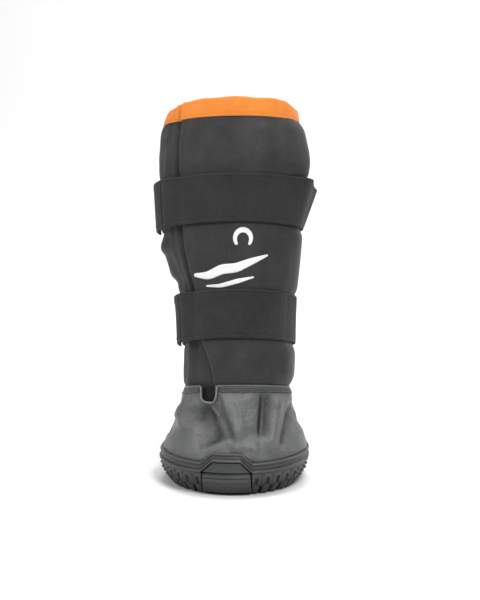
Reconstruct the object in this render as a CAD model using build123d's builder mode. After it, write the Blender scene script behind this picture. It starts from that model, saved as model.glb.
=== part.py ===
from build123d import *
from math import sin, cos, tan, radians, degrees, sqrt, pi, atan2
import os

os.makedirs("parts", exist_ok=True)

# ---------------------------------------------------------------- driving sizes, mm
SOLE_W = 77.0          # half width of the sole at its widest level
SOLE_F = 79.0          # toe reach of the sole from the origin
SOLE_R = 76.0          # heel reach of the sole from the origin
SOLE_TOP = 24.0        # height of the sole's upper face
BOARD_T = 2.0          # lasting board
PAD_T = 6.5            # foam insole pad
SHELL_T = 2.4          # rubber-coated fabric wall of the hoof shell
RAND_T = 2.6           # rubber rim band round the foot of the shell
RAND_H = 10.0
TAB_H = 11.5           # rise of the toe guard's tab above the sole
LEAN = 14.0            # backward lean of the leg shaft, degrees
SIDE = -1.6            # its sideways lean, degrees
ANKLE_Y, ANKLE_Z = 10.0, 95.0
SHAFT_LEN = 298.0
PANEL_T = 2.2          # outer nylon panel
LINING_T = 1.0
BIND_H = 20.0          # folded binding on the mouth
STRAP_W = 50.0         # woven elastic
STRAP_T = 2.4
STRAP_TILT = 4.5       # the straps slope down towards the heel side, degrees
UPPER_S, LOWER_S = 188.5, 69.0   # strap mid heights along the shaft
HOOK_T = 1.2
SEAM = 108.0           # azimuth of the side seam, from the front towards the right, degrees
AXIS_OUT = 3.9         # the fold line stands this far out from the shaft's surface
FLAP_EDGE = -45.0      # azimuth of the front panel's free edge
GAP = 0.35

# ---------------------------------------------------------------- shaft surface
S_ = [-12, 0, 35, 70, 100, 125, 150, 175, 205, 235, 262, 285, 304]
AL = [53.5, 53, 52, 53, 56.5, 66, 73, 75, 77, 79, 77, 71.5, 65]
AR = [59, 59, 60.5, 61, 63, 66.5, 69.5, 72, 76, 79.5, 75, 68.5, 64.5]
BF = [50, 50, 49, 48, 48, 49, 50, 50, 50, 51, 50, 48, 46]


def lerp(xs, ys, x):
    """Monotone cubic through the table, straight beyond its ends."""
    n = len(xs)
    d = [(ys[i + 1] - ys[i]) / (xs[i + 1] - xs[i]) for i in range(n - 1)]
    m = [d[0]] + [0.0 if d[i - 1] * d[i] <= 0 else 2 * d[i - 1] * d[i] / (d[i - 1] + d[i]) for i in range(1, n - 1)] + [d[-1]]
    if x <= xs[0]:
        return ys[0] + d[0] * (x - xs[0])
    if x >= xs[-1]:
        return ys[-1] + d[-1] * (x - xs[-1])
    i = max(k for k in range(n - 1) if xs[k] <= x)
    h = xs[i + 1] - xs[i]
    t = (x - xs[i]) / h
    return ((1 + 2 * t) * (1 - t) ** 2 * ys[i] + t * (1 - t) ** 2 * h * m[i]
            + t * t * (3 - 2 * t) * ys[i + 1] + t * t * (t - 1) * h * m[i + 1])


def smooth(t):
    t = max(0.0, min(1.0, t))
    return t * t * (3 - 2 * t)


def base(th, s):
    """Point of the shaft's outer surface at azimuth th and height s, in the shaft's plane."""
    th = (th + 180.0) % 360.0 - 180.0
    a_rear = 55.0 + 11.0 * s / 304.0
    b_rear = 50.0 - 4.0 * s / 304.0
    t = radians(th)
    b = lerp(S_, BF, s) if cos(t) >= 0 else b_rear
    if sin(t) >= 0:
        a = lerp(S_, AR, s)
        k = smooth((th - 66.0) / (SEAM - 66.0))
        a = a * (1 - k) + a_rear * k
    else:
        a = lerp(S_, AL, s)
    return (a * sin(t), -b * cos(t))


def point(th, s, off=0.0):
    """The same, moved out along the surface's normal by off."""
    d = 0.25
    x0, y0 = base(th - d, s)
    x1, y1 = base(th + d, s)
    tx, ty = x1 - x0, y1 - y0
    n = sqrt(tx * tx + ty * ty)
    x, y = base(th, s)
    return (x + off * ty / n, y - off * tx / n)


shaft_plane = Plane(
    origin=(0, ANKLE_Y, ANKLE_Z),
    x_dir=(cos(radians(SIDE)), 0, -sin(radians(SIDE))),
    z_dir=(sin(radians(SIDE)) * cos(radians(LEAN)), sin(radians(LEAN)), cos(radians(SIDE)) * cos(radians(LEAN))),
)


def value(f, th):
    return f(th) if callable(f) else f


def angles(th0, th1, step=9.0):
    """The two ends and every multiple of step between them."""
    lo, hi = min(th0, th1), max(th0, th1)
    k = int(lo // step)
    mid = [step * i for i in range(k, int(hi // step) + 2) if lo + 0.35 * step < step * i < hi - 0.35 * step]
    out = [lo] + mid + [hi]
    return out if th0 < th1 else out[::-1]


def strip(plane, o, i):
    """Closed sketch between an outer and an inner curve."""
    with BuildSketch(plane) as sk:
        with BuildLine():
            Spline(*o)
            Line(o[-1], i[0])
            Spline(*i)
            Line(i[-1], o[0])
        make_face()
    return sk.sketch


def band(s, th0, th1, inner, outer, step=9.0):
    """Sketch of a curved strip between two offsets of the shaft's surface."""
    ths = angles(th0, th1, step)
    o = [point(t, s, value(outer, t)) for t in ths]
    i = [point(t, s, value(inner, t)) for t in reversed(ths)]
    return strip(shaft_plane.offset(s), o, i)


def panel(levels, th0, th1, inner, outer, step=9.0):
    """Bands up the shaft; th0 and th1 may depend on the height."""
    return [band(s, value(th0, s), value(th1, s), inner, outer, step) for s in levels]


LEVELS = [0.4, 22, 44, 66, 88, 110, 132, 154, 176, 198, 220, 242, 264, 281, 297.6]

# ---------------------------------------------------------------- sole and shell outlines
RING = [i * 15.0 for i in range(24)]


def hoof(w, f, r, grow=0.0, wl=None):
    """Closed hoof outline: round toe, squarer heel."""
    pts = []
    for a in RING:
        t = radians(a)
        c, s = cos(t), sin(t)
        ww = (w if s >= 0 or wl is None else wl) + grow
        if c >= 0:
            pts.append((ww * s, -(f + grow) * c))
        else:
            q = 2 / 2.35
            x = ww * abs(s) ** q * (1 if s >= 0 else -1)
            pts.append((x, (r + grow) * abs(c) ** q))
    return pts


def ring(plane, pts):
    with BuildSketch(plane) as sk:
        with BuildLine():
            Spline(*pts, periodic=True)
        make_face()
    return sk.sketch


def sole_rings(grow, levels):
    return [ring(Plane.XY.offset(z), hoof(SOLE_W * k, SOLE_F * k, SOLE_R * k, grow)) for z, k in levels]


SOLE_LEVELS = [(0, 0.85), (4, 0.895), (9, 0.94), (16, 0.98), (SOLE_TOP, 1.0)]

# level: centre y, centre z, tilt, half width right, left, front reach, rear reach
SHELL = [
    (0.0, SOLE_TOP + 0.1, 0.0, 74.0, 74.0, 76.0, 73.0),
    (0.0, 35.5, 1.5, 73.0, 73.0, 73.5, 72.5),
    (1.0, 47.0, 4.0, 68.5, 68.5, 67.0, 69.5),
    (3.0, 59.0, 7.0, 62.5, 61.5, 60.5, 64.5),
    (6.0, 71.5, 10.5, 60.0, 57.0, 55.0, 57.0),
]


def tilted(y, z, tilt):
    return Plane(origin=(0, y, z), x_dir=(1, 0, 0), z_dir=(0, sin(radians(tilt)), cos(radians(tilt))))


def ankle_ring(s, off):
    return [point(a if a <= 180 else a - 360, s, off) for a in RING]


def shell_rings(off, low=0.0, top=0.0):
    """Rings of the hoof shell's wall, moved out by off; low and top carry the ends further."""
    rings = []
    for k, (y, z, tilt, wr, wl, f, r) in enumerate(SHELL):
        rings.append(ring(tilted(y, z - (low if k == 0 else 0), tilt), hoof(wr, f, r, off, wl)))
    rings.append(ring(shaft_plane.offset(-9), ankle_ring(-9, off)))
    rings.append(ring(shaft_plane.offset(top), ankle_ring(top, off)))
    return rings


# ================================================================ foot
def wall_planes(z, k_at, slope, start, count=36):
    """Planes tangent to the sole's side wall, skipping the toe."""
    planes = []
    for n in range(count):
        a = (n + start) * 360.0 / count
        if abs((a + 90) % 360 - 180) > 155:
            continue
        t = radians(a)
        r = hoof_radius(a) * k_at
        c = cos(radians(slope))
        planes.append(Plane(origin=(r * cos(t), r * sin(t), z), x_dir=(-sin(t), cos(t), 0),
                            z_dir=(cos(t) * c, sin(t) * c, -sin(radians(slope)))))
    return planes


def hoof_radius(a):
    """Radius of the sole's outline at the plain polar angle a."""
    pts = hoof(SOLE_W, SOLE_F, SOLE_R)
    best = min(pts, key=lambda p: abs((degrees(atan2(p[1], p[0])) - a + 180) % 360 - 180))
    others = sorted(pts, key=lambda p: abs((degrees(atan2(p[1], p[0])) - a + 180) % 360 - 180))[:2]
    w = [1 / (0.01 + abs((degrees(atan2(p[1], p[0])) - a + 180) % 360 - 180)) for p in others]
    return sum(sqrt(p[0] ** 2 + p[1] ** 2) * q for p, q in zip(others, w)) / sum(w)


# outsole: bowl-sided rubber unit with two staggered rows of side lugs and a barred ground face
with BuildPart() as outsole:
    loft(sole_rings(0, SOLE_LEVELS))
    with BuildSketch(*wall_planes(4.2, 0.895, 37, 0.5)):
        Rectangle(3.4, 10.5)
    extrude(amount=3.2, both=True, mode=Mode.SUBTRACT)
    with BuildSketch(*wall_planes(14.6, 0.972, 19, 0.0)):
        Rectangle(3.4, 6.5)
    extrude(amount=3.2, both=True, mode=Mode.SUBTRACT)
    # ring gap between the row of edge lugs and the centre bars
    with BuildSketch(Plane.XY.offset(-1)):
        with BuildLine():
            Spline(*hoof(54, 55, 52), periodic=True)
        make_face()
        with BuildLine():
            Spline(*hoof(50, 51, 48), periodic=True)
        make_face(mode=Mode.SUBTRACT)
    extrude(amount=5, mode=Mode.SUBTRACT)
    # cross gaps between the centre bars
    with BuildSketch(Plane.XY.offset(-1)):
        with Locations(*[(0, y) for y in (-33.75, -20.25, -6.75, 6.75, 20.25, 33.75)]):
            Rectangle(108, 4.0)
    extrude(amount=4.5, mode=Mode.SUBTRACT)
    # seat for the toe guard
    with BuildSketch(Plane.XZ.offset(63.0)):
        with Locations((0, 10.6)):
            Rectangle(50.8, 31)
    extrude(amount=30, mode=Mode.SUBTRACT)
outsole.part.label = "outsole"
export_step(outsole.part, "parts/outsole.step")

# toe guard: moulded block let into the front of the sole, toothed along its foot
with BuildPart() as toe_guard:
    loft(sole_rings(1.2, [(1.2, 0.865), (9, 0.94), (16, 0.98), (SOLE_TOP, 1.0)]))
    with BuildSketch(Plane.XZ.offset(63.3)):
        with Locations((0, 12.0)):
            Rectangle(50.0, 30)
    extrude(amount=30, mode=Mode.INTERSECT)
    with BuildSketch(Plane.XY.offset(0)):
        with Locations(*[(k * 3.7, -74) for k in range(-6, 7)]):
            Rectangle(1.5, 14)
    extrude(amount=3.0, mode=Mode.SUBTRACT)
toe_guard.part.label = "toe_guard"
export_step(toe_guard.part, "parts/toe_guard.step")

# cutter: everything inside the outer face of the shell, with a little clearance
with BuildPart() as shell_core:
    loft(shell_rings(0.3, 0.0, 1.0))

# toe tab: the tapered top of the toe guard, lapped over the foot of the shell
with BuildPart() as toe_tab:
    loft(shell_rings(RAND_T, 0.0, 1.0))
    with BuildSketch(Plane.XZ.offset(30)):
        with BuildLine():
            Polyline(
                (-24.5, SOLE_TOP + 0.4), (-24.5, SOLE_TOP + 1.4), (-13.5, SOLE_TOP + TAB_H),
                (13.5, SOLE_TOP + TAB_H), (24.5, SOLE_TOP + 1.4), (24.5, SOLE_TOP + 0.4), close=True,
            )
        make_face()
    extrude(amount=70, mode=Mode.INTERSECT)
    add(shell_core.part, mode=Mode.SUBTRACT)
toe_tab.part.label = "toe_tab"
export_step(toe_tab.part, "parts/toe_tab.step")

# zone of the rand: a plain band at the sides and heel, stepping up over the toe tab
RZ = SOLE_TOP + 0.4
with BuildPart() as rand_zone:
    with BuildSketch(Plane.XZ):
        with BuildLine():
            Polyline(
                (-100, RZ), (-25.5, RZ), (-25.5, RZ + 1.4), (-14.0, RZ + TAB_H + 0.2), (14.0, RZ + TAB_H + 0.2),
                (25.5, RZ + 1.4), (25.5, RZ), (100, RZ), (100, RZ + RAND_H), (31, RZ + RAND_H),
                (17, RZ + TAB_H + RAND_H), (-17, RZ + TAB_H + RAND_H), (-31, RZ + RAND_H), (-100, RZ + RAND_H), close=True,
            )
        make_face()
    extrude(amount=100)
    with BuildSketch(Plane.XY.offset(RZ)):
        with Locations((0, 50)):
            Rectangle(200, 100)
    extrude(amount=RAND_H)

# rand: rubber rim band round the foot of the shell
with BuildPart() as rand:
    loft(shell_rings(RAND_T + 0.4, 0.0, 1.0))
    add(rand_zone.part, mode=Mode.INTERSECT)
    add(shell_core.part, mode=Mode.SUBTRACT)
rand.part.label = "rand"
export_step(rand.part, "parts/rand.step")

# lasting board and foam pad inside the foot
with BuildPart() as lasting_board:
    with BuildSketch(Plane.XY.offset(SOLE_TOP + 0.1)):
        with BuildLine():
            Spline(*hoof(69.6, 71.6, 68.6), periodic=True)
        make_face()
    extrude(amount=BOARD_T)
lasting_board.part.label = "lasting_board"
export_step(lasting_board.part, "parts/lasting_board.step")

with BuildPart() as insole_pad:
    with BuildSketch(Plane.XY.offset(SOLE_TOP + BOARD_T + 0.2)):
        with BuildLine():
            Spline(*hoof(68.6, 69.5, 67.4), periodic=True)
        make_face()
    extrude(amount=PAD_T)
    chamfer(insole_pad.edges().group_by(Axis.Z)[-1], 1.6)
insole_pad.part.label = "insole_pad"
export_step(insole_pad.part, "parts/insole_pad.step")

# notch at the foot of the opening, cut down into the shell's top edge
NOTCH_TH = -25.0
NOTCH_W, NOTCH_D = 19.0, 21.0
nx, ny = point(NOTCH_TH, 0, 0)
nx2, ny2 = point(NOTCH_TH, 0, 10)
n_dir = shaft_plane.from_local_coords(Vector(nx2, ny2, 0)) - shaft_plane.from_local_coords(Vector(nx, ny, 0))
notch_plane = Plane(
    origin=shaft_plane.from_local_coords(Vector(nx, ny, 0)),
    x_dir=shaft_plane.z_dir.cross(n_dir).normalized(),
    z_dir=n_dir.normalized(),
)


def u_shape(w, d, top):
    r = w / 2
    with BuildSketch(notch_plane.offset(-12)) as sk:
        with BuildLine():
            Line((-r, top), (-r, -d + r))
            ThreePointArc((-r, -d + r), (0, -d), (r, -d + r))
            Line((r, -d + r), (r, top))
            Line((r, top), (-r, top))
        make_face()
    return sk.sketch


# hoof shell: rubber-coated fabric, from the sole to the ankle seam
with BuildPart() as hoof_shell:
    loft(shell_rings(0.0))
    loft(shell_rings(-SHELL_T, 4, 6), mode=Mode.SUBTRACT)
    extrude(u_shape(NOTCH_W, NOTCH_D, 12), amount=30, mode=Mode.SUBTRACT)
hoof_shell.part.label = "hoof_shell"
export_step(hoof_shell.part, "parts/hoof_shell.step")

# turned hem stitched round the shell's top edge, open at the notch
with BuildPart() as ankle_hem:
    loft(panel([-9, -4.5, -0.3], NOTCH_TH + 14.5, 360 + NOTCH_TH - 14.5, 0.6, 1.6, 9))
ankle_hem.part.label = "ankle_hem"
export_step(ankle_hem.part, "parts/ankle_hem.step")

# piping round the notch
with BuildPart() as notch_piping:
    loft(shell_rings(1.9, 0.0, 0.0))
    extrude(u_shape(NOTCH_W + 4.4, NOTCH_D + 2.2, 12), amount=30, mode=Mode.INTERSECT)
    extrude(u_shape(NOTCH_W, NOTCH_D, 13), amount=30, mode=Mode.SUBTRACT)
    add(shell_core.part, mode=Mode.SUBTRACT)
notch_piping.part.label = "notch_piping"
export_step(notch_piping.part, "parts/notch_piping.step")

# gusset: fabric tongue that backs the notch from inside
with BuildPart() as notch_gusset:
    loft([band(s, -46, -4, -SHELL_T - 1.5 + g, -SHELL_T - 0.3 + g, 10)
          for s, g in ((-30, 1.2), (-18, 0.2), (-9, -0.4), (-0.8, -0.4))])
notch_gusset.part.label = "notch_gusset"
export_step(notch_gusset.part, "parts/notch_gusset.step")

# ================================================================ leg shaft
UNDER = 6.2                    # how far the underlap lies inside the front panel's face


def under(off):
    return lambda th: off - UNDER * smooth(((th if th < 100 else th - 360) + 66.0) / 18.0)


def flap_left(s):
    return -20.0 - 25.0 * smooth(s / 75.0)


def lining_left(s):
    return flap_left(s) + 18.5


with BuildPart() as left_panel:
    loft(panel(LEVELS, -6.0, -119.7, under(-PANEL_T), under(0.0), 6))
left_panel.part.label = "left_panel"
export_step(left_panel.part, "parts/left_panel.step")

with BuildPart() as rear_panel:
    loft(panel(LEVELS, -120.3, -360 + SEAM + 0.8, -PANEL_T, 0.0))
rear_panel.part.label = "rear_panel"
export_step(rear_panel.part, "parts/rear_panel.step")

with BuildPart() as rear_lining:
    loft(panel(LEVELS, -76.0, -360 + SEAM + 1.5, -PANEL_T - GAP - LINING_T, -PANEL_T - GAP))
rear_lining.part.label = "rear_lining"

with BuildPart() as front_panel:
    loft(panel(LEVELS, flap_left, SEAM - 0.8, -PANEL_T, 0.0))
front_panel.part.label = "front_panel"
export_step(front_panel.part, "parts/front_panel.step")

with BuildPart() as front_lining:
    loft(panel(LEVELS, lining_left, SEAM - 2.5, -PANEL_T - GAP - LINING_T, -PANEL_T - 2 * GAP))
front_lining.part.label = "front_lining"
export_step(front_lining.part, "parts/front_lining.step")

# hook and loop closure strips between the front panel's free edge and the underlap
T2 = HOOK_T * 0.75


def strip_l(s):
    return flap_left(s) + 2.0


def strip_r(s):
    return flap_left(s) + 17.0


STRIP_LEVELS = [96, 110, 132, 154, 176, 198, 220, 242, 262, 274]
with BuildPart() as closure_hook_strip:
    loft(panel(STRIP_LEVELS, strip_l, strip_r, -PANEL_T - GAP - T2, -PANEL_T - GAP))
closure_hook_strip.part.label = "closure_hook_strip"
export_step(closure_hook_strip.part, "parts/closure_hook_strip.step")

with BuildPart() as closure_loop_strip:
    loft(panel(STRIP_LEVELS, strip_l, strip_r, -PANEL_T - 2 * GAP - 2 * T2, -PANEL_T - 2 * GAP - T2))
closure_loop_strip.part.label = "closure_loop_strip"
export_step(closure_loop_strip.part, "parts/closure_loop_strip.step")

export_step(rear_lining.part, "parts/rear_lining.step")

# folded binding on the mouth of the shaft: a channel that covers both faces of the edge
TOP = SHAFT_LEN
FOLD = [TOP - BIND_H, TOP - 15, TOP - 10, TOP - 5, TOP + 1.6]
CHANNEL = [TOP - BIND_H - 3, TOP - 15, TOP - 10, TOP - 5, TOP + 0.2]
INSIDE = -PANEL_T - GAP - LINING_T - 0.35
with BuildPart() as top_binding_rear:
    loft(panel(FOLD, -18.0, -360 + SEAM + 0.8, under(INSIDE - 0.8), under(1.3), 6))
    loft(panel(CHANNEL, -14.0, -360 + SEAM - 3, under(INSIDE), under(0.4), 6), mode=Mode.SUBTRACT)
top_binding_rear.part.label = "top_binding_rear"
export_step(top_binding_rear.part, "parts/top_binding_rear.step")

with BuildPart() as top_binding_front:
    loft(panel(FOLD, FLAP_EDGE, SEAM - 0.8, INSIDE - 0.6, 1.3))
    loft(panel(CHANNEL, FLAP_EDGE - 4, SEAM + 3, INSIDE, 0.5), mode=Mode.SUBTRACT)
top_binding_front.part.label = "top_binding_front"
export_step(top_binding_front.part, "parts/top_binding_front.step")


# ================================================================ straps
def strap_plane(s):
    t = radians(STRAP_TILT)
    o = shaft_plane.from_local_coords(Vector(0, 0, s))
    z = shaft_plane.z_dir * cos(t) + shaft_plane.y_dir * sin(t)
    return Plane(origin=o, x_dir=shaft_plane.x_dir, z_dir=z)


IN0 = 1.4                       # clearance of the strap from the panel
LOOP_IN = IN0 + STRAP_T + 0.25
HOOK_IN = LOOP_IN + HOOK_T + 0.35
TIP_IN = HOOK_IN + HOOK_T + 0.25
TIP_TH = -62.0                  # azimuth of the line where the tip peels
END_TH = -101.0


def front_off(flare):
    def f(th):
        o = IN0
        o += (TIP_IN - IN0) * smooth((-40.0 - th) / 18.0)
        o += flare * smooth((SEAM - th) / 22.0) * smooth((th - 46.0) / 28.0)
        o += 3.2 * smooth((-84.0 - th) / 22.0)
        return o
    return f


def strap_band(s0, th0, th1, f_in, thick, flares, step=9.0, half=STRAP_W / 2):
    """Sections across the width of a flat elastic band, at its own tilt."""
    out = []
    for k, fl in zip((-1, -0.5, 0, 0.5, 1), flares):
        s = s0 + k * half
        pl = strap_plane(s)
        ths = angles(th0, th1, step)
        fi = f_in(fl)

        def pt(t, extra):
            # the surface height under the tilted plane changes with depth
            x, y = base(t, s)
            ss = s - y * tan(radians(STRAP_TILT))
            return point(t, ss, fi(t) + extra)

        o = [pt(t, thick) for t in ths]
        i = [pt(t, 0) for t in reversed(ths)]
        out.append(strip(pl, o, i))
    return out


def const(c):
    return lambda fl: (lambda th: c)


def hook_off(fl):
    f = front_off(fl)
    return lambda th: f(th) - HOOK_T - 0.25


FLAT = (0.0, 0.0, 0.0, 0.0, 0.0)
FLARED = (1.0, 3.0, 5.0, 7.0, 9.0)

with BuildPart() as upper_strap_rear:
    loft(strap_band(UPPER_S, -52.0, -360 + SEAM + 0.3, const(IN0), STRAP_T, FLAT))
upper_strap_rear.part.label = "upper_strap_rear"
export_step(upper_strap_rear.part, "parts/upper_strap_rear.step")

with BuildPart() as upper_strap_front:
    loft(strap_band(UPPER_S, TIP_TH + 0.3, SEAM - 0.3, front_off, STRAP_T, FLARED))
upper_strap_front.part.label = "upper_strap_front"
export_step(upper_strap_front.part, "parts/upper_strap_front.step")

with BuildPart() as upper_strap_tip:
    loft(strap_band(UPPER_S, END_TH, TIP_TH - 0.3, front_off, STRAP_T, FLAT))
upper_strap_tip.part.label = "upper_strap_tip"
export_step(upper_strap_tip.part, "parts/upper_strap_tip.step")

with BuildPart() as upper_hook_patch:
    loft(strap_band(UPPER_S, -94.0, TIP_TH - 2.0, hook_off, HOOK_T, FLAT, 9.0, 22.0))
upper_hook_patch.part.label = "upper_hook_patch"
export_step(upper_hook_patch.part, "parts/upper_hook_patch.step")

with BuildPart() as upper_loop_patch:
    loft(strap_band(UPPER_S, -128.0, -55.0, const(LOOP_IN), HOOK_T, FLAT, 9.0, 22.0))
upper_loop_patch.part.label = "upper_loop_patch"
export_step(upper_loop_patch.part, "parts/upper_loop_patch.step")

with BuildPart() as lower_strap_rear:
    loft(strap_band(LOWER_S, -52.0, -360 + SEAM + 0.3, const(IN0), STRAP_T, FLAT))
lower_strap_rear.part.label = "lower_strap_rear"
export_step(lower_strap_rear.part, "parts/lower_strap_rear.step")

with BuildPart() as lower_strap_front:
    loft(strap_band(LOWER_S, TIP_TH + 0.3, SEAM - 0.3, front_off, STRAP_T, FLAT))
lower_strap_front.part.label = "lower_strap_front"
export_step(lower_strap_front.part, "parts/lower_strap_front.step")

with BuildPart() as lower_strap_tip:
    loft(strap_band(LOWER_S, END_TH, TIP_TH - 0.3, front_off, STRAP_T, FLAT))
lower_strap_tip.part.label = "lower_strap_tip"
export_step(lower_strap_tip.part, "parts/lower_strap_tip.step")

with BuildPart() as lower_hook_patch:
    loft(strap_band(LOWER_S, -94.0, TIP_TH - 2.0, hook_off, HOOK_T, FLAT, 9.0, 22.0))
lower_hook_patch.part.label = "lower_hook_patch"
export_step(lower_hook_patch.part, "parts/lower_hook_patch.step")

with BuildPart() as lower_loop_patch:
    loft(strap_band(LOWER_S, -128.0, -55.0, const(LOOP_IN), HOOK_T, FLAT, 9.0, 22.0))
lower_loop_patch.part.label = "lower_loop_patch"
export_step(lower_loop_patch.part, "parts/lower_loop_patch.step")

# ---------------------------------------------------------------- fold lines, printed for the record
for name, s in (("seam foot", 0.0), ("seam top", SHAFT_LEN)):
    x, y = point(SEAM, s, AXIS_OUT)
    p = shaft_plane.from_local_coords(Vector(x, y, s))
    print(name, [round(v / 1000, 6) for v in (p.X, p.Y, p.Z)])
for name, s0 in (("upper tip", UPPER_S), ("lower tip", LOWER_S)):
    for k in (-1, 1):
        s = s0 + k * STRAP_W / 2
        x, y = base(TIP_TH, s)
        ss = s - y * tan(radians(STRAP_TILT))
        x, y = point(TIP_TH, ss, front_off(0)(TIP_TH) + STRAP_T)
        p = strap_plane(s).from_local_coords(Vector(x, y, 0))
        print(name, k, [round(v / 1000, 6) for v in (p.X, p.Y, p.Z)])
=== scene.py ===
import bpy
import numpy as np
from math import sin, cos, radians, degrees, pi
from mathutils import Vector, Matrix

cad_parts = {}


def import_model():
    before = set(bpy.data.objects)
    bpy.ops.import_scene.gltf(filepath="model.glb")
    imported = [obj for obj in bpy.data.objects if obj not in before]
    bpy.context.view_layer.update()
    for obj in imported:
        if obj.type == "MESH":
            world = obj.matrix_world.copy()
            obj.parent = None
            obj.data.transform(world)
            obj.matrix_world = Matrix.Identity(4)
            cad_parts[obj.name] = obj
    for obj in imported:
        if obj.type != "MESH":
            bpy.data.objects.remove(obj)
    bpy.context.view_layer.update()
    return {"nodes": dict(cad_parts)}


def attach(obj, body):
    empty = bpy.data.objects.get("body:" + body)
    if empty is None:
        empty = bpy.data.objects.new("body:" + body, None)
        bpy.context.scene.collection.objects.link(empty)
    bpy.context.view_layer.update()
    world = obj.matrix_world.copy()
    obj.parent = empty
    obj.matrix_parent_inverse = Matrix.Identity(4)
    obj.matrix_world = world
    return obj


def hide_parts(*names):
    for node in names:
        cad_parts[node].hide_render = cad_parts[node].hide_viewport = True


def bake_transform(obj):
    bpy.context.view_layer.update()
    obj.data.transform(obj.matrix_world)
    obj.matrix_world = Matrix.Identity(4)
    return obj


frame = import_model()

MM = 0.001

# ------------------------------------------------------------------ camera first
AZ, EL, DIST = radians(6.0), radians(9.0), 1600.0
TARGET = np.array([5.0, 10.0, 187.0])
BACK = np.array([sin(AZ) * cos(EL), -cos(AZ) * cos(EL), sin(EL)])
CAM_POS = TARGET + BACK * DIST
RIGHT = np.cross(-BACK, [0, 0, 1.0])
RIGHT /= np.linalg.norm(RIGHT)
UP = np.cross(RIGHT, -BACK)
FPX = 1538.5

cam_data = bpy.data.cameras.new("cam")
cam = bpy.data.objects.new("cam", cam_data)
bpy.context.scene.collection.objects.link(cam)
cam.matrix_world = Matrix((
    (RIGHT[0], UP[0], BACK[0], CAM_POS[0] * MM),
    (RIGHT[1], UP[1], BACK[1], CAM_POS[1] * MM),
    (RIGHT[2], UP[2], BACK[2], CAM_POS[2] * MM),
    (0, 0, 0, 1)))
cam_data.sensor_fit = "VERTICAL"
cam_data.sensor_height = 36.0
cam_data.lens = FPX * 36.0 / 600.0
cam_data.clip_start = 0.05
cam_data.clip_end = 20.0
bpy.context.scene.camera = cam
bpy.context.scene.view_settings.view_transform = "Standard"


def px(P):
    """Where a point (mm) lies in the frontal drawing, in its 480 x 600 units."""
    d = P - CAM_POS
    w = -(d @ BACK)
    return np.stack([240 + FPX * (d @ RIGHT) / w, 300 - FPX * (d @ UP) / w], -1)


# ------------------------------------------------------------------ shaft surface, as in the CAD
LEAN, SIDE = radians(14.0), radians(-1.6)
O = np.array([0.0, 10.0, 95.0])
ZD = np.array([sin(SIDE) * cos(LEAN), sin(LEAN), cos(SIDE) * cos(LEAN)])
XD = np.array([cos(SIDE), 0, -sin(SIDE)])
ZD /= np.linalg.norm(ZD)
YD = np.cross(ZD, XD)
SEAM = 108.0
TOP = 298.0
S_ = np.array([-12, 0, 35, 70, 100, 125, 150, 175, 205, 235, 262, 285, 304.0])
AL = np.array([53.5, 53, 52, 53, 56.5, 66, 73, 75, 77, 79, 77.5, 74.5, 70])
AR = np.array([59, 59, 60.5, 61, 63, 66.5, 69.5, 72, 76, 79.5, 75, 69.5, 67])
BF = np.array([50, 50, 49, 48, 48, 49, 50, 50, 50, 51, 50, 48, 46.0])


def table(xs, ys, x):
    """Monotone cubic through a table, straight beyond its ends."""
    d = np.diff(ys) / np.diff(xs)
    m = np.zeros(len(xs))
    m[0], m[-1] = d[0], d[-1]
    for i in range(1, len(xs) - 1):
        m[i] = 0.0 if d[i - 1] * d[i] <= 0 else 2 * d[i - 1] * d[i] / (d[i - 1] + d[i])
    x = np.asarray(x, float)
    i = np.clip(np.searchsorted(xs, x, side="right") - 1, 0, len(xs) - 2)
    h = xs[i + 1] - xs[i]
    t = (x - xs[i]) / h
    y = ((1 + 2 * t) * (1 - t) ** 2 * ys[i] + t * (1 - t) ** 2 * h * m[i]
         + t * t * (3 - 2 * t) * ys[i + 1] + t * t * (t - 1) * h * m[i + 1])
    y = np.where(x <= xs[0], ys[0] + d[0] * (x - xs[0]), y)
    return np.where(x >= xs[-1], ys[-1] + d[-1] * (x - xs[-1]), y)


def smooth(t):
    t = np.clip(t, 0.0, 1.0)
    return t * t * (3 - 2 * t)


def base(th, s):
    th = (np.asarray(th, float) + 180.0) % 360.0 - 180.0
    t = np.radians(th)
    s = np.asarray(s, float)
    b = np.where(np.cos(t) >= 0, table(S_, BF, s), 50.0 - 4.0 * s / 304.0)
    k = smooth((th - 66.0) / (SEAM - 66.0))
    a = np.where(np.sin(t) >= 0, table(S_, AR, s) * (1 - k) + (55.0 + 11.0 * s / 304.0) * k, table(S_, AL, s))
    return a * np.sin(t), -b * np.cos(t)


def local(th, s, off=0.0):
    d = 0.25
    x0, y0 = base(np.asarray(th) - d, s)
    x1, y1 = base(np.asarray(th) + d, s)
    tx, ty = x1 - x0, y1 - y0
    n = np.hypot(tx, ty)
    x, y = base(th, s)
    return x + off * ty / n, y - off * tx / n


def world(x, y, s):
    x, y, s = np.broadcast_arrays(x, y, s)
    return O + x[..., None] * XD + y[..., None] * YD + s[..., None] * ZD


def sag(th):
    """The mouth dips towards both sides."""
    t = np.sin(np.radians(th))
    return 0.8 + 8.2 * np.where(t > 0, np.abs(t) ** 7, np.abs(t) ** 4)


def shaft(th, s, off=0.0):
    s = np.asarray(s, float)
    x, y = local(th, s, off)
    return world(x, y, s - sag(th) * smooth((s - 270.0) / 28.0))


# ------------------------------------------------------------------ soft noise for cloth
def noise2(u, v, seed, waves=14, lo=0.02, hi=0.09, stretch=(1.0, 1.0)):
    """Smooth seeded wave noise on a surface, about -1 to 1; u and v in mm."""
    r = np.random.default_rng(seed)
    out = 0
    for _ in range(waves):
        a = r.uniform(0, pi)
        f = r.uniform(lo, hi) * 2 * pi
        out = out + np.sin(f * (cos(a) * u * stretch[0] + sin(a) * v * stretch[1]) + r.uniform(0, 2 * pi))
    return out / (waves ** 0.5) / 1.4


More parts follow.
